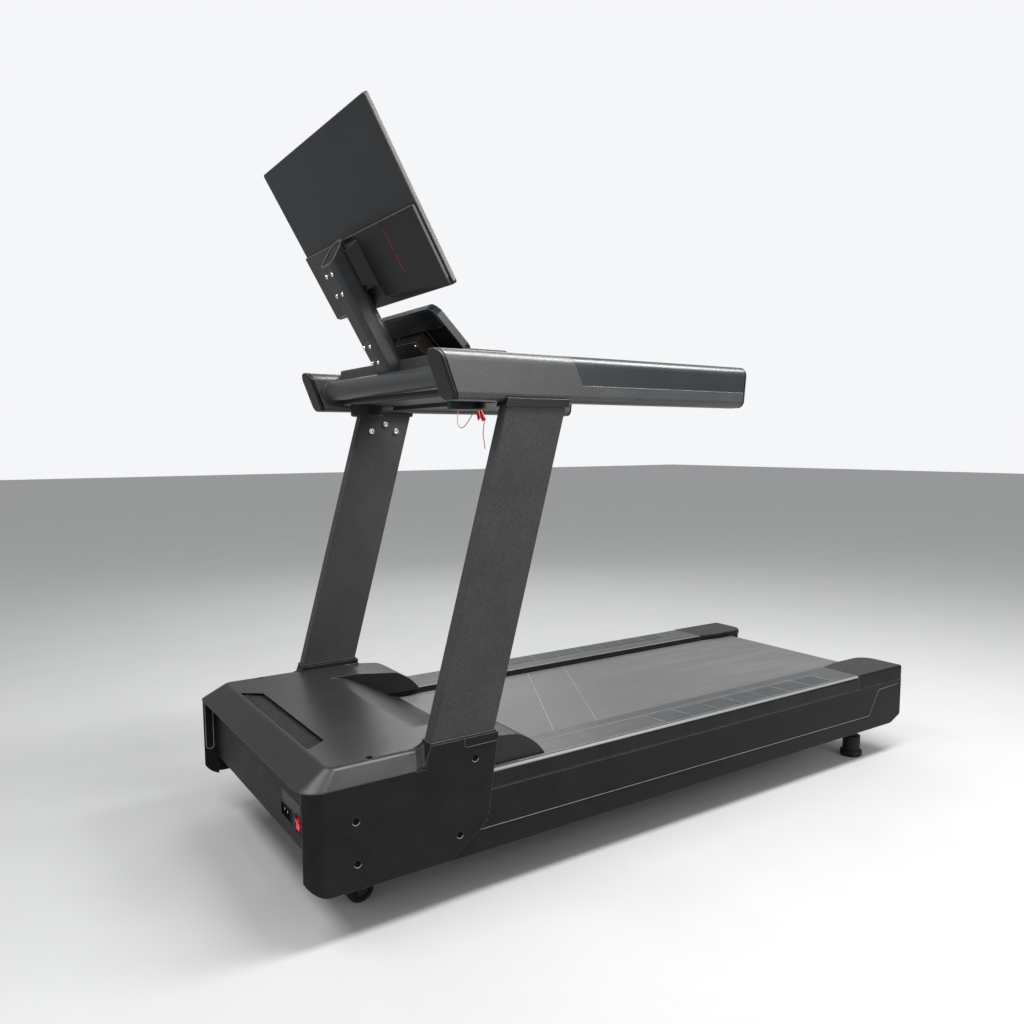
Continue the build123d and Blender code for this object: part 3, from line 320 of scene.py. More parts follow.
def belt_rubber():
    """Woven running belt: a fine square weave, faint lengthwise wear, and a colour that grows lighter towards
    the hood.
    """
    shade = Shading("belt_weave")
    weave = shade.calculate("MULTIPLY", *[shade.wave(way, 260, 0.4) for way in "XY"])
    wear = shade.noise(5, 7.0, 0.7, (3.0, 0.5, 1.0))
    specks = shade.spread(shade.noise(900, 2.0), 0.55, 0.75, 0.0, 0.5)
    colour = shade.mix(shade.spread(wear, NOISE_LOW, NOISE_HIGH, 0.0, 1.0), grey(0.062), grey(0.086))
    colour = shade.mix(specks, colour, grey(0.14))
    near_hood = shade.spread(shade.part_of(shade.place, "Y"), -0.1, 0.5, 0.0, 0.35)
    shade.show(Base_Color=shade.mix(near_hood, colour, grey(0.12)),
               Roughness=shade.spread(wear, NOISE_LOW, NOISE_HIGH, 0.55, 0.7),
               Normal=shade.bump(weave, 0.35, 0.3 * MM))
    return shade.material


def cord_braid():
    shade = Shading("lanyard_braid")
    braid = shade.wave("DIAGONAL", 420)
    shade.show(Base_Color=shade.mix(braid, (0.38, 0.004, 0.008), (0.62, 0.02, 0.02)), Roughness=0.7,
               Sheen_Weight=0.3, Normal=shade.bump(braid, 0.6, 0.4 * MM))
    return shade.material


def black_glass():
    shade = Shading("screen_glass")
    tone = shade.noise(12, 5.0)
    shade.show(Base_Color=shade.mix(tone, grey(0.004), grey(0.007)),
               Roughness=shade.spread(tone, NOISE_LOW, NOISE_HIGH, 0.09, 0.16), Coat_Weight=0.15)
    return shade.material


SWITCH_RED = lit_red()
BELT = belt_rubber()
BRAID = cord_braid()
GLASS = black_glass()


# ---- mesh helpers ----
def link(name, mesh, material, body="base"):
    mesh.materials.clear()
    mesh.materials.append(material)
    piece = bpy.data.objects.new(name, mesh)
    bpy.context.scene.collection.objects.link(piece)
    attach(piece, body)
    return piece


def from_bm(name, bm, material, body="base", sharp=32.0):
    bmesh.ops.recalc_face_normals(bm, faces=bm.faces)
    mesh = bpy.data.meshes.new(name)
    bm.to_mesh(mesh)
    bm.free()
    mesh.shade_smooth()
    mesh.set_sharp_from_angle(angle=radians(sharp))
    return link(name, mesh, material, body)


def weighted(piece):
    modifier = piece.modifiers.new("normals", "WEIGHTED_NORMAL")
    modifier.keep_sharp = True
    return piece


def round_edges(bm, width, angle, segments=3):
    edges = [e for e in bm.edges if len(e.link_faces) == 2 and e.calc_face_angle(0) > radians(angle)]
    bmesh.ops.bevel(bm, geom=edges, offset=width, segments=segments, profile=0.5, affect="EDGES",
                    clamp_overlap=True)


def merge_flat(bm):
    bmesh.ops.dissolve_limit(bm, angle_limit=radians(0.4), verts=bm.verts, edges=bm.edges)


def soften(node, width, material, body="base"):
    """A copy of a CAD node with its sharp edges rounded, standing for the node."""
    bm = bmesh.new()
    bm.from_mesh(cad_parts[node].data)
    bmesh.ops.remove_doubles(bm, verts=bm.verts, dist=0.02 * MM)
    merge_flat(bm)
    round_edges(bm, width, 32)
    piece = weighted(from_bm(node + "_shape", bm, material, body))
    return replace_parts(piece, node)


def paint(node, material):
    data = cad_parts[node].data
    data.materials.clear()
    data.materials.append(material)


def add_box(bm, low, high):
    middle = (Vector(low) + Vector(high)) / 2
    size = Vector(high) - Vector(low)
    bmesh.ops.create_cube(bm, size=1, matrix=Matrix.Translation(middle) @ Matrix.Diagonal((*size, 1)))


def bevel_all(bm, radius, segments):
    bmesh.ops.bevel(bm, geom=bm.edges[:], offset=radius, segments=segments, profile=0.5, affect="EDGES")


def round_box(name, low, high, radius, material, turn=None):
    bm = bmesh.new()
    add_box(bm, low, high)
    bevel_all(bm, radius, 3)
    if turn:
        bm.transform(turn)
    return weighted(from_bm(name, bm, material))


def slab(bm, points, lift):
    """A flat plate through the points, thickened by the vector lift."""
    low = [bm.verts.new(p) for p in points]
    high = [bm.verts.new(Vector(p) + Vector(lift)) for p in points]
    bm.faces.new(low)
    bm.faces.new(high[::-1])
    for i, corner in enumerate(low):
        after = (i + 1) % len(low)
        bm.faces.new((low[after], corner, high[i], high[after]))


TURN_START = pi / 4      # where the first corner of a turned shape lies


def ring_tube(bm, centre, radius, thick, steps=28, sides=8):
    """A torus round the local Z axis."""
    rows = []
    for i in range(steps):
        angle = TURN_START + 2 * pi * i / steps
        row = []
        for j in range(sides):
            tilt = 2 * pi * j / sides
            reach = radius + thick * cos(tilt)
            row.append(bm.verts.new(Vector(centre) + Vector((reach * cos(angle), reach * sin(angle),
                                                             thick * sin(tilt)))))
        rows.append(row)
    for i, a in enumerate(rows):
        b = rows[(i + 1) % steps]
        for j in range(sides):
            k = (j + 1) % sides
            bm.faces.new((a[j], b[j], b[k], a[k]))


def lathe(bm, centre, profile, steps):
    """A solid turned round the local Z axis, from (radius, height) points closed on the axis."""
    rings = []
    for radius, height in profile:
        middle = Vector(centre) + Vector((0, 0, height))
        if radius == 0:
            rings.append([bm.verts.new(middle)])
            continue
        turns = [TURN_START + 2 * pi * i / steps for i in range(steps)]
        rings.append([bm.verts.new(middle + radius * Vector((cos(t), sin(t), 0))) for t in turns])
    for low, high in zip(rings, rings[1:]):
        for i in range(steps):
            j = (i + 1) % steps
            if len(low) == 1:
                bm.faces.new((low[0], high[i], high[j]))
            elif len(high) == 1:
                bm.faces.new((low[i], low[j], high[0]))
            else:
                bm.faces.new((low[i], low[j], high[j], high[i]))


def tube(bm, points, radius, sides=8):
    """A thin bead along straight runs."""
    rings = []
    for i, spot in enumerate(points):
        before, after = points[max(i - 1, 0)], points[min(i + 1, len(points) - 1)]
        along = (Vector(after) - Vector(before)).normalized()
        side = along.orthogonal().normalized() if not rings else (side - along * side.dot(along)).normalized()
        other = along.cross(side)
        turns = [2 * pi * j / sides for j in range(sides)]
        rings.append([bm.verts.new(Vector(spot) + radius * (cos(t) * side + sin(t) * other)) for t in turns])
    for low, high in zip(rings, rings[1:]):
        for j in range(sides):
            k = (j + 1) % sides
            bm.faces.new((low[j], low[k], high[k], high[j]))
    bm.faces.new(rings[0][::-1])
    bm.faces.new(rings[-1])


def rounded_path(points, radius, steps=6):
    """A closed rectangle-like path with rounded corners, in its own plane."""
    path = []
    for i, point in enumerate(points):
        here = Vector(point)
        back = (Vector(points[i - 1]) - here).normalized()
        ahead = (Vector(points[(i + 1) % len(points)]) - here).normalized()
        for k in range(steps + 1):
            t = k / steps
            path.append(here + back * radius * (1 - t) ** 2 + ahead * radius * t ** 2)
    return path + path[:1]


# ---- lanyard ----
CORD_ROUTE = [(60, 489, 1300), (60, 463, 1300), (60, 446, 1282), (57, 441, 1257), (48, 448, 1232),
              (32, 459, 1208), (7, 470, 1193), (-26, 480, 1187), (-60, 488, 1192), (-92, 493, 1208),
              (-120, 497, 1227), (-144, 501, 1239), (-168, 505, 1243.5)]
TAIL_ROUTE = [(-199, 507, 1208), (-197, 508, 1193), (-193, 508, 1175), (-195, 509, 1158),
              (-201, 508, 1142), (-198, 506, 1127)]
CORD_WIDE = 2.4 * MM


def cord_piece(name, route, node):
    curve = bpy.data.curves.new(name, "CURVE")
    curve.dimensions = "3D"
    curve.resolution_u = 12
    curve.bevel_depth = CORD_WIDE / 2
    curve.bevel_resolution = 4
    curve.use_fill_caps = True
    spline = curve.splines.new("NURBS")
    spline.points.add(len(route) - 1)
    for point, spot in zip(spline.points, route):
        point.co = (*(Vector(spot) * MM), 1)
    spline.order_u = 3
    spline.use_endpoint_u = True
    curve.materials.append(BRAID)
    piece = bpy.data.objects.new(name, curve)
    bpy.context.scene.collection.objects.link(piece)
    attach(piece, "base")
    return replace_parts(piece, node)


def lanyard():
    main = cord_piece("lanyard_loop", CORD_ROUTE, "lanyard_cord")
    tail = cord_piece("lanyard_end", TAIL_ROUTE, "lanyard_tail")
    clip = soften("lanyard_clip", 0.6 * MM, CLIP_RED)
    lever = soften("clip_lever", 0.6 * MM, CLIP_RED, body="clip_lever")
    soften("safety_key", 1.2 * MM, STOP_RED, body="safety_key")


lanyard()

# ---- CAD nodes that keep their shape ----
KEPT = (
    (FRAME_PAINT, ("main_frame", "lift_frame", "drive_motor", "lift_motor")),
    (DECK_BOARD, ("running_deck",)),
    (BELT, ("running_belt",)),
    (STEEL, ("front_roller", "rear_roller", "roller_shafts", "motor_shaft", "lift_screw")),
    (CAST_IRON, ("roller_pulley", "motor_pulley", "flywheel")),
    (TYRE, ("drive_belt", "lift_wheel_left", "lift_wheel_right")),
    (ALLOY, ("motor_controller",)),
    (BRASS, ("inlet_pins",)),
    (GLASS, ("screen_glass",)),
    (SCREW_IN_SHADE, ("cover_screws",)),
    (BOLT_STEEL, ("button_head_bolts",)),
    (POWDER, ("upright_left", "upright_right")),
)
for material, nodes in KEPT:
    for node in nodes:
        paint(node, material)

# ---- CAD nodes with rounded edges: nodes, rounding in mm, material, slot ----
ROUNDED = (
    (("side_cover_left", "side_cover_right"), 1.8, SIDE_PLASTIC, "cover_plastic"),
    (("motor_hood",), 2.6, HOOD_PLASTIC, "cover_plastic"),
    (("power_inlet",), 0.8, BLACK_PLASTIC, "inlet_plastic"),
    (("side_panel_left", "side_panel_right"), 1.6, SIDE_PLASTIC, "panel_plastic"),
    (("foot_rail_left", "foot_rail_right"), 1.5, RAIL_PLASTIC, "panel_plastic"),
    (("rear_end_caps",), 5.0, REAR_PLASTIC, "cover_plastic"),
    (("foot_treads",), 0.5, TREAD_RUBBER, "tread_rubber"),
    (("upright_collars",), 1.5, CAP_PLASTIC, "upright_paint"),
    (("front_cross_tube",), 0.8, NECK_PAINT, "upright_paint"),
    (("arm_left", "arm_right"), 1.2, ARM_PLASTIC, "arm_plastic"),
    (("grip_left", "grip_right"), 1.5, GRIP_RUBBER, "grip_rubber"),
    (("arm_end_caps",), 5.0, CAP_PLASTIC, "cap_plastic"),
    (("console_tray",), 1.8, TRAY_PLASTIC, "tray_plastic"),
    (("cup_holders",), 1.0, CAP_PLASTIC, "tray_plastic"),
    (("console_shell",), 1.5, SHELL_GLOSS, "console_gloss"),
    (("console_face",), 1.0, SHELL_GLOSS, "console_gloss"),
    (("screen_neck",), 1.5, NECK_PAINT, "neck_paint"),
    (("screen_shell",), 1.5, SCREEN_PAINT, "screen_shell"),
    (("screen_cover",), 2.0, COVER_GLOSS, "screen_cover"),
)
COVER_FACE = 0.4593      # the side covers stand back a little, so that their beads stay inside the CAD box
for nodes, width, material, slot in ROUNDED:
    for node in nodes:
        piece = soften(node, width * MM, material)
        if node.startswith("side_cover"):
            for vertex in piece.data.vertices:
                vertex.co.x = max(-COVER_FACE, min(COVER_FACE, vertex.co.x))
soften("stop_button", 1 * MM, STOP_RED, body="stop_button")
soften("start_button", 1 * MM, START_GREEN, body="start_button")
soften("rocker_switch", 1 * MM, SWITCH_RED, body="rocker_switch")
for node in ("rear_foot_left", "rear_foot_right"):
    soften(node, 1.5 * MM, TYRE, body=node)

# ---- vent mesh in the hood ----
VENT_REAR = (0.245, 1.008, 0.3995)       # half width, y and z of the vent's rear edge
VENT_FRONT = (0.287, 1.071, 0.4035)
MESH_STEP, MESH_BAR, MESH_DEEP = 5.2 * MM, 1.1 * MM, 1.2 * MM


def vent_mesh():
    half_rear, rear, z_rear = VENT_REAR
    half_front, front, z_front = VENT_FRONT
    long = front - rear
    bm = bmesh.new()

    def along(y, at_rear, at_front):
        return at_rear + (y - rear) / long * (at_front - at_rear)

    for i in range(int(long / MESH_STEP) + 1):
        y = rear + i * MESH_STEP
        half = along(y, half_rear, half_front)
        z = along(y, z_rear, z_front)
        add_box(bm, (-half, y - MESH_BAR / 2, z - MESH_DEEP), (half, y + MESH_BAR / 2, z + 0.2 * MM))
    columns = int((half_front - 2 * MM) / MESH_STEP)
    for i in range(-columns, columns + 1):
        x = i * MESH_STEP
        start = rear + max(0.0, (abs(x) - half_rear) / (half_front - half_rear)) * long
        slab(bm, [(x + side * MESH_BAR / 2, y, along(y, z_rear, z_front) - MESH_DEEP)
                  for side, y in ((-1, start), (1, start), (1, front), (-1, front))], (0, 0, MESH_DEEP))
    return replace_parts(from_bm("vent_mesh", bm, MESH_BLACK), "vent_grille")


vent_mesh()

# ---- screen details, in (x, up the screen, behind the screen) ----
SCREEN_AT = Vector((0, 0.692, 1.530))
SCREEN_LEAN = radians(30)
SCREEN_UP = Vector((0, sin(SCREEN_LEAN), cos(SCREEN_LEAN)))
SCREEN_BACK = Vector((0, cos(SCREEN_LEAN), -sin(SCREEN_LEAN)))
SCREEN_AXES = Matrix(((1, 0, 0), SCREEN_UP, SCREEN_BACK)).transposed().to_4x4()
ON_SCREEN = Matrix.Translation(SCREEN_AT) @ SCREEN_AXES
SCREEN_HALF, SCREEN_HIGH = 0.3589, 0.461
COVER_FLAT, COVER_HALF = 0.080, 0.3525        # half width of the cover's flat middle and of the whole cover
COVER_DEEP, COVER_THIN = 0.042, 0.009         # its distance behind the panel, in the middle and at its sides
COVER_HIGH = 0.2032
SEAM_X = -0.2052


def cover_depth(x):
    return COVER_DEEP - (abs(x) - COVER_FLAT) * (COVER_DEEP - COVER_THIN) / (COVER_HALF - COVER_FLAT)


def on_cover(bm, x0, x1, s0, s1, rise):
    sink = 1 * MM
    slab(bm, [(x, s, cover_depth(x) - sink) for x, s in ((x0, s0), (x1, s0), (x1, s1), (x0, s1))],
         (0, 0, sink + rise))


def on_screen(name, bm, material):
    bm.transform(ON_SCREEN)
    return from_bm(name, bm, material)


def cover_top_trim(bm):
    """A thin strip along the top edge of the cover."""
    side, thick, under = 0.351, 1.8 * MM, 0.3 * MM
    low, middle = 7.6 * MM, COVER_DEEP + under
    for way in SIDES:
        inner, outer = way * COVER_FLAT, way * side
        slab(bm, [(inner, COVER_HIGH, middle - 2 * MM), (outer, COVER_HIGH, low),
                  (outer, COVER_HIGH, low + thick), (inner, COVER_HIGH, middle)], (0, 1.4 * MM, 0))
    slab(bm, [(x, COVER_HIGH, n) for x, n in ((-COVER_FLAT, middle - thick), (COVER_FLAT, middle - thick),
                                              (COVER_FLAT, middle), (-COVER_FLAT, middle))], (0, 1.4 * MM, 0))


def screen_details():
    bm = bmesh.new()
    on_cover(bm, SEAM_X - 0.6 * MM, SEAM_X + 0.6 * MM, 0.052, 0.2035, 0.2 * MM)
    on_screen("cover_seam", bm, DARK_TRIM)
    bm = bmesh.new()
    for low, high in ((0.068, 0.118), (0.124, 0.188)):
        on_cover(bm, SEAM_X - 3.3 * MM, SEAM_X - 0.8 * MM, low, high, 0.5 * MM)
    on_screen("cover_accents", bm, ACCENT_RED)
    bm = bmesh.new()
    cover_top_trim(bm)
    on_screen("cover_top_trim", bm, LIGHT_TRIM)
    bm = bmesh.new()
    # The dark disc stands for the hole: painted shade inside it.
    hole, sink, rise = 2.2 * MM, -1 * MM, 0.3 * MM
    lathe(bm, (-0.300, 0.027, cover_depth(0.300)), [(0, sink), (hole, sink), (hole, rise), (0, rise)], 20)
    on_screen("cover_hole", bm, DARK_TRIM)
    bm = bmesh.new()
    ring_tube(bm, (-0.062, 0.024, 0.0075), 4 * MM, 1.2 * MM)
    on_screen("cover_eyelet", bm, BOLT_STEEL)


def screen_trim():
    """The light strip round the edge of the panel and down the sides of its cover."""
    bm = bmesh.new()
    behind, before, stop = -1.8 * MM, -10.5 * MM, 7 * MM
    for way in SIDES:
        add_box(bm, (way * SCREEN_HALF, stop, before),
                (way * (SCREEN_HALF - 1.5 * MM), SCREEN_HIGH - stop, behind))
        add_box(bm, (way * 0.3530, 0.020, 1 * MM), (way * 0.3510, 0.2025, 8.6 * MM))
    for low in (-0.1 * MM, SCREEN_HIGH - 0.9 * MM):
        add_box(bm, (8 * MM - SCREEN_HALF, low, before), (SCREEN_HALF - 8 * MM, low + 1 * MM, behind))
    bevel_all(bm, 0.3 * MM, 2)
    weighted(on_screen("screen_trim", bm, LIGHT_TRIM))


screen_details()
screen_trim()

# ---- raised lines on the panels, rails and covers; the panel lines and tread ticks are painted highlights ----
PANEL_LINE_X = 0.4545
PANEL_LINE = ((0.773, 0.174), (0.698, 0.174), (-0.952, 0.164), (-1.005, 0.252), (-1.12, 0.2565))
INLAY_X, INLAY_Z = (0.350, 0.440), 0.3221
INLAY_REAR, INLAY_FRONT = -0.80, 0.56
TREADS, TREAD_FIRST, TREAD_STEP = 8, 0.038, 0.112
TICK_Z = 0.3228
TICK = ((0.362, 0.006), (0.376, 0.0035), (0.398, -0.001), (0.418, -0.003), (0.436, -0.0062))
LIP_X, LIP_REAR, LIP_FRONT, LIP_LOW, LIP_TOP = 0.4298, 1.113, 1.136, 0.205, 0.362


def side_lines():
    # Light beads on the panels' steps: painted highlights of the step edges.
    bm = bmesh.new()
    for side in SIDES:
        tube(bm, [(side * PANEL_LINE_X, y, z) for y, z in PANEL_LINE], 1 * MM)
    from_bm("panel_step_highlights", bm, FINE_LINE)
    bm = bmesh.new()
    for side in SIDES:
        for x in INLAY_X:
            tube(bm, [(side * x, INLAY_FRONT, INLAY_Z), (side * x, INLAY_REAR, INLAY_Z)], 0.8 * MM)
        # A light bead on one side of each tread gap: a painted highlight of the gap's edge.
        for k in range(TREADS):
            y = TREAD_FIRST - TREAD_STEP * k
            tube(bm, [(side * x, y + bend, TICK_Z) for x, bend in TICK], 1.3 * MM)
    from_bm("rail_lines", bm, FINE_LINE)
    bm = bmesh.new()
    for side in SIDES:
        corners = [(side * LIP_X, y, z) for y, z in ((LIP_FRONT, LIP_TOP), (LIP_FRONT, LIP_LOW),
                                                     (LIP_REAR, LIP_LOW), (LIP_REAR, LIP_TOP))]
        tube(bm, rounded_path(corners, 11 * MM), 1.4 * MM)
    from_bm("cover_lip_beads", bm, FINE_LINE)


side_lines()

# ---- where the shrouds of the uprights meet the hood ----
HOOD_TOP, HOOD_SEAM, HOOD_SLOPE_FROM, HOOD_SLOPE_TO = 0.409, 0.368, 0.424, 0.460
SHROUD_TOP, SHROUD_FRONT_TOP, SHROUD_FRONT_LOW = 0.421, 0.826, 0.847
FILLET_FROM, FILLET_WIDE, FILLET_STEPS, FILLET_CURVE = 0.4117, 0.0478, 12, 8
FILLET_RISE, FILLET_RUN, FILLET_SINK = 11 * MM, 26 * MM, 4 * MM
FILLET_HEEL = 0.6 * MM


def fillet_row(x):
    """The fillet's outline in (y, z) at one distance from the middle."""
    slope = (HOOD_TOP - HOOD_SEAM) / (HOOD_SLOPE_TO - HOOD_SLOPE_FROM)
    hood = HOOD_TOP - max(0.0, x - HOOD_SLOPE_FROM) * slope
    lean = (SHROUD_FRONT_LOW - SHROUD_FRONT_TOP) / (SHROUD_TOP - HOOD_SEAM)
    front = SHROUD_FRONT_TOP + (SHROUD_TOP - hood) * lean - FILLET_RISE * 0.4
    row = [(front - FILLET_SINK, hood - FILLET_SINK), (front - FILLET_SINK, hood + FILLET_RISE)]
    for j in range(FILLET_CURVE + 1):
        t = j / FILLET_CURVE
        rise = FILLET_HEEL + (FILLET_RISE - FILLET_HEEL) * (1 - t) ** 2.4
        row.append((front + FILLET_RUN * t, hood + rise))
    return row + [(front + FILLET_RUN, hood - FILLET_SINK)]


def tower_fillets():
    """The shrouds run down into the hood in a hollow curve."""
    bm = bmesh.new()
    for side in SIDES:
        rows = []
        for k in range(FILLET_STEPS + 1):
            x = FILLET_FROM + FILLET_WIDE * k / FILLET_STEPS
            rows.append([bm.verts.new((side * x, y, z)) for y, z in fillet_row(x)])
        for a, b in zip(rows, rows[1:]):
            for j in range(len(a)):
                i = (j + 1) % len(a)
                bm.faces.new((a[j], a[i], b[i], b[j]))
        bm.faces.new(rows[0][::-1])
        bm.faces.new(rows[-1])
    from_bm("tower_fillets", bm, SIDE_PLASTIC, sharp=50.0)


def shroud_seam_highlights():
    """The raised seam line on each shroud, below its top, lighter than the plastic: a painted highlight along
    it.
    """
    bm = bmesh.new()
    for side in SIDES:
        seam = ((0.640, 0.398), (0.728, 0.398), (0.733, 0.401), (0.733, 0.4195))
        tube(bm, [(side * 0.4590, y, z) for y, z in seam], 0.9 * MM)
    from_bm("shroud_seam_highlights", bm, SEAM_HIGHLIGHT)


tower_fillets()
shroud_seam_highlights()

# ---- screw holes of the side covers ----
COVER_SCREWS = ((1.023, 0.283), (1.021, 0.181), (0.749, 0.178), (0.703, 0.365))
RIM_X, RIM_RADIUS, RIM_STEPS = 0.4585, 9.6 * MM, 14
RIM_START, RIM_SWEEP = 195, 150


def screw_rim_highlights():
    """A light bead on the lower lip of each screw hole: a painted highlight where the overhead light catches
    the rim.
    """
    arc = [radians(RIM_START + RIM_SWEEP * k / RIM_STEPS) for k in range(RIM_STEPS + 1)]
    bm = bmesh.new()
    for side in SIDES:
        for y, z in COVER_SCREWS:
            rim = [(side * RIM_X, y + RIM_RADIUS * cos(a), z + RIM_RADIUS * sin(a)) for a in arc]
            tube(bm, rim, 1.2 * MM)
    from_bm("screw_rim_highlights", bm, LIGHT_TRIM)


screw_rim_highlights()

# ---- belt ----
BELT_HALF, BELT_TOP = 0.3015, 0.3009
SPLICES = ((0.0142, 0.334), (-0.151, 0.171))      # where each joint meets the belt's right and left edge


def belt_splices():
    """Two slanted joints across the belt."""
    bm = bmesh.new()
    half = 1.4 * MM
    for right, left in SPLICES:
        slab(bm, [(BELT_HALF, right - half, BELT_TOP), (BELT_HALF, right + half, BELT_TOP),
                  (-BELT_HALF, left + half, BELT_TOP), (-BELT_HALF, left - half, BELT_TOP)], (0, 0, 0.3 * MM))
    from_bm("belt_splices", bm, FINE_LINE)


belt_splices()

# ---- fascia ----
FASCIA_BACK, FASCIA_FACE = 1.104, 1.108
FASCIA_HALF, FASCIA_NECK = 0.4295, 0.390
FASCIA_LOW, FASCIA_SHOULDER, FASCIA_HIGH = 0.186, 0.364, 0.384
INLET = (-0.264, -0.190, 0.222, 0.262)
SWITCH = (-0.324, -0.300, 0.227, 0.257)


def in_fascia(x, z):
    """Whether a spot lies on the fascia: below its shoulders, clear of the inlet and the switch."""
    shoulder = z > FASCIA_SHOULDER and abs(x) > FASCIA_NECK
    holes = [x0 < x < x1 and z0 < z < z1 for x0, x1, z0, z1 in (INLET, SWITCH)]
    return not (shoulder or any(holes))


def fascia_plate():
    """One moulding round the inlet and the switch, in place of the CAD's strips."""
    xs = (-FASCIA_HALF, -FASCIA_NECK, *SWITCH[:2], *INLET[:2], FASCIA_NECK, FASCIA_HALF)
    zs = sorted((FASCIA_LOW, *INLET[2:], *SWITCH[2:], FASCIA_SHOULDER, FASCIA_HIGH))
    bm = bmesh.new()
    spots = {}

    def corner(i, j, y):
        if (i, j, y) not in spots:
            spots[i, j, y] = bm.verts.new((xs[i], y, zs[j]))
        return spots[i, j, y]

    def filled(i, j):
        inside = 0 <= i < len(xs) - 1 and 0 <= j < len(zs) - 1
        return inside and in_fascia((xs[i] + xs[i + 1]) / 2, (zs[j] + zs[j + 1]) / 2)

    for i in range(len(xs) - 1):
        for j in range(len(zs) - 1):
            if not filled(i, j):
                continue
            low, right, high, left = (i, j), (i + 1, j), (i + 1, j + 1), (i, j + 1)
            for y in (FASCIA_BACK, FASCIA_FACE):
                bm.faces.new([corner(*spot, y) for spot in (low, right, high, left)])
            for a, b, beyond in ((low, right, (i, j - 1)), (left, high, (i, j + 1)),
                                 (low, left, (i - 1, j)), (right, high, (i + 1, j))):
                if not filled(*beyond):
                    bm.faces.new([corner(*a, FASCIA_BACK), corner(*b, FASCIA_BACK),
                                  corner(*b, FASCIA_FACE), corner(*a, FASCIA_FACE)])
    bmesh.ops.recalc_face_normals(bm, faces=bm.faces)
    merge_flat(bm)
    round_edges(bm, 1.2 * MM, 40)
    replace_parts(weighted(from_bm("fascia_plate", bm, BLACK_PLASTIC)), "front_fascia")


def fascia_details():
    proud = 0.6 * MM
    round_box("rating_plate", (-0.330, FASCIA_FACE - 0.2 * MM, 0.262), (-0.200, FASCIA_FACE + proud, 0.295),
              0.3 * MM, PLATE)
    bm = bmesh.new()
    x0, x1, z0, z1 = -0.3335, -0.2985, 0.2185, 0.2655
    corners = [(x, FASCIA_FACE + 0.5 * MM, z) for x, z in ((x0, z0), (x1, z0), (x1, z1), (x0, z1))]
    tube(bm, rounded_path(corners, 3 * MM), 1.2 * MM)
    from_bm("switch_bezel", bm, BLACK_PLASTIC)


fascia_plate()
fascia_details()

# ---- neck cap ----
NECK_FRONT, NECK_BACK, NECK_HALF = 0.1155, 0.0565, 0.0335
NECK_TIGHT, NECK_WIDE = 9 * MM, 25 * MM           # corner radii in front and behind


def neck_cap():
    """A dark D-shaped plug in the slanted end of the neck."""
    tight, wide = NECK_HALF - NECK_TIGHT, NECK_HALF - NECK_WIDE
    plan = []
    for x, n, radius, start in ((tight, NECK_FRONT - NECK_TIGHT, NECK_TIGHT, 0),
                                (-tight, NECK_FRONT - NECK_TIGHT, NECK_TIGHT, 90),
                                (-wide, NECK_BACK + NECK_WIDE, NECK_WIDE, 180),
                                (wide, NECK_BACK + NECK_WIDE, NECK_WIDE, 270)):
        for k in range(9):
            angle = radians(start + 90 * k / 8)
            plan.append((x + radius * cos(angle), n + radius * sin(angle)))
    bm = bmesh.new()
    slab(bm, [(x, 0.2363 - 0.63 * n, n) for x, n in plan], (0, 2.5 * MM, 0))
    round_edges(bm, 0.7 * MM, 40, segments=2)
    weighted(on_screen("neck_cap", bm, DARK_TRIM))


neck_cap()

# ---- console bracket and screws, in the sloping frame of the console ----
CONSOLE_AT = Vector((0, 0.5613, 1.3773))
ON_CONSOLE = Matrix.Translation(CONSOLE_AT) @ Matrix.Rotation(radians(45), 4, "X")
BRACKET_HALF, BRACKET_NEAR, BRACKET_FAR = 0.0735, 0.013, 0.0965
BRACKET_FLOOR, BRACKET_TOP, SHEET = -0.034, 0.004, 1.4 * MM
SCREW_X, SCREW_Y = (-0.062, 0.062), (0.026, 0.083)
SCREW_HEAD = [(0, -0.0365), (0.0022, -0.0385), (0.0042, -0.0378), (0.0050, -0.0362), (0.0050, -0.0350),
              (0, -0.0350)]


def console_details():
    def sheet(name, x0, x1, z0, z1):
        round_box(name, (x0, BRACKET_NEAR, z0), (x1, BRACKET_FAR, z1), 0.6 * MM, BRACKET,
                  turn=ON_CONSOLE)

    sheet("console_bracket", -BRACKET_HALF, BRACKET_HALF, BRACKET_FLOOR - 1.2 * MM, BRACKET_FLOOR + 0.2 * MM)
    sheet("console_bracket_left", -BRACKET_HALF, SHEET - BRACKET_HALF, BRACKET_FLOOR, BRACKET_TOP)
    sheet("console_bracket_right", BRACKET_HALF - SHEET, BRACKET_HALF, BRACKET_FLOOR, BRACKET_TOP)
    bm = bmesh.new()
    for x in SCREW_X:
        for y in SCREW_Y:
            lathe(bm, (x, y, 0), SCREW_HEAD, 24)
    bm.transform(ON_CONSOLE)
    from_bm("console_screws", bm, BOLT_STEEL)


console_details()

# ---- studio ----
LAMPS = (      # name, place, aim, size, power
    ("overhead", (-1.05, -0.9, 3.5), (-1.05, -0.5, 0.5), (0.8, 3.2), 215),
    ("overhead_front", (-0.3, 2.2, 3.2), (-0.2, 0.9, 0.5), (2.4, 0.8), 85),
    ("side", (-4.6, -1.4, 2.6), (0, 0, 0.7), (1.2, 2.4), 55),
    ("rear_right", (3.4, -1.5, 3.0), (0, 0, 0.7), (2.2, 2.2), 50),
)
SKY_GLOSS, SKY_FILL, SKY_SEEN = 0.36, 0.9, 0.94


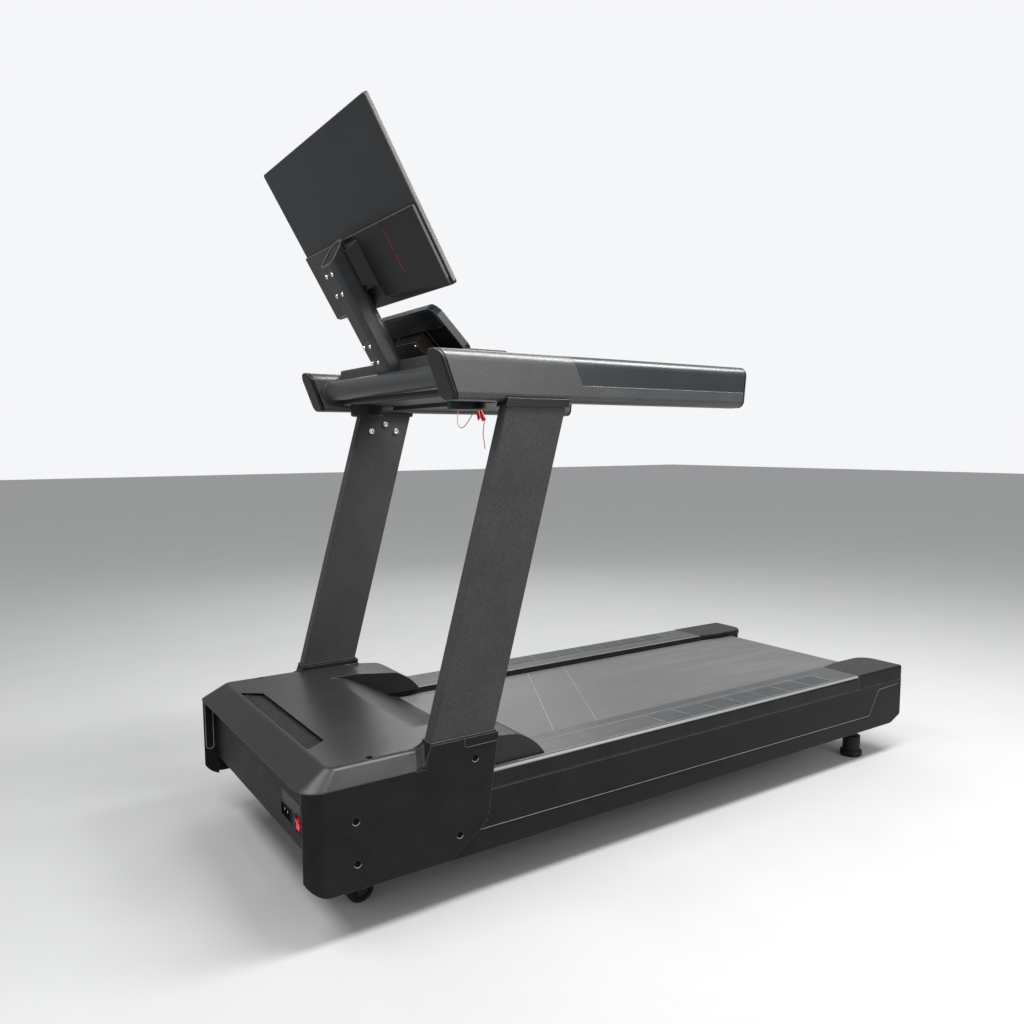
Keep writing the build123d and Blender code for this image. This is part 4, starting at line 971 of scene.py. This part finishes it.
def stage_floor():
    bm = bmesh.new()
    bmesh.ops.create_grid(bm, x_segments=2, y_segments=2, size=30)
    mesh = bpy.data.meshes.new("floor")
    bm.to_mesh(mesh)
    bm.free()
    floor = bpy.data.objects.new("floor", mesh)
    floor.location = (0, 0, -0.5 * MM)
    bpy.context.scene.collection.objects.link(floor)
    shade = Shading("floor")
    shade.show(Base_Color=shade.mix(shade.noise(3, 3.0), grey(0.34), grey(0.37)), Roughness=0.9,
               Specular_IOR_Level=0.2)
    mesh.materials.append(shade.material)


def sky():
    """A pale sky: dim in reflections, brighter as a fill, brightest where the camera looks at it."""
    world = bpy.data.worlds.new("studio")
    bpy.context.scene.world = world
    world.use_nodes = True
    nodes, links = world.node_tree.nodes, world.node_tree.links
    seen = nodes.new("ShaderNodeLightPath")
    light = nodes["Background"]
    light.inputs["Color"].default_value = (0.93, 0.965, 1.0, 1)
    light.inputs["Strength"].default_value = SKY_GLOSS
    for ray, colour, strength in (("Is Diffuse Ray", (0.97, 0.985, 1.0, 1), SKY_FILL),
                                  ("Is Camera Ray", (0.97, 0.98, 1.0, 1), SKY_SEEN)):
        other = nodes.new("ShaderNodeBackground")
        other.inputs["Color"].default_value = colour
        other.inputs["Strength"].default_value = strength
        either = nodes.new("ShaderNodeMixShader")
        links.new(seen.outputs[ray], either.inputs[0])
        links.new(light.outputs[0], either.inputs[1])
        links.new(other.outputs[0], either.inputs[2])
        light = either
    links.new(light.outputs[0], nodes["World Output"].inputs["Surface"])


def lamps():
    for name, spot, aim, size, power in LAMPS:
        data = bpy.data.lights.new(name, "AREA")
        data.shape = "RECTANGLE"
        data.size, data.size_y = size
        data.energy = power
        lamp = bpy.data.objects.new(name, data)
        lamp.location = spot
        lamp.rotation_mode = "QUATERNION"
        lamp.rotation_quaternion = (Vector(aim) - Vector(spot)).to_track_quat("-Z", "Y")
        bpy.context.scene.collection.objects.link(lamp)


bpy.context.scene.view_settings.view_transform = "Standard"
stage_floor()
sky()
lamps()
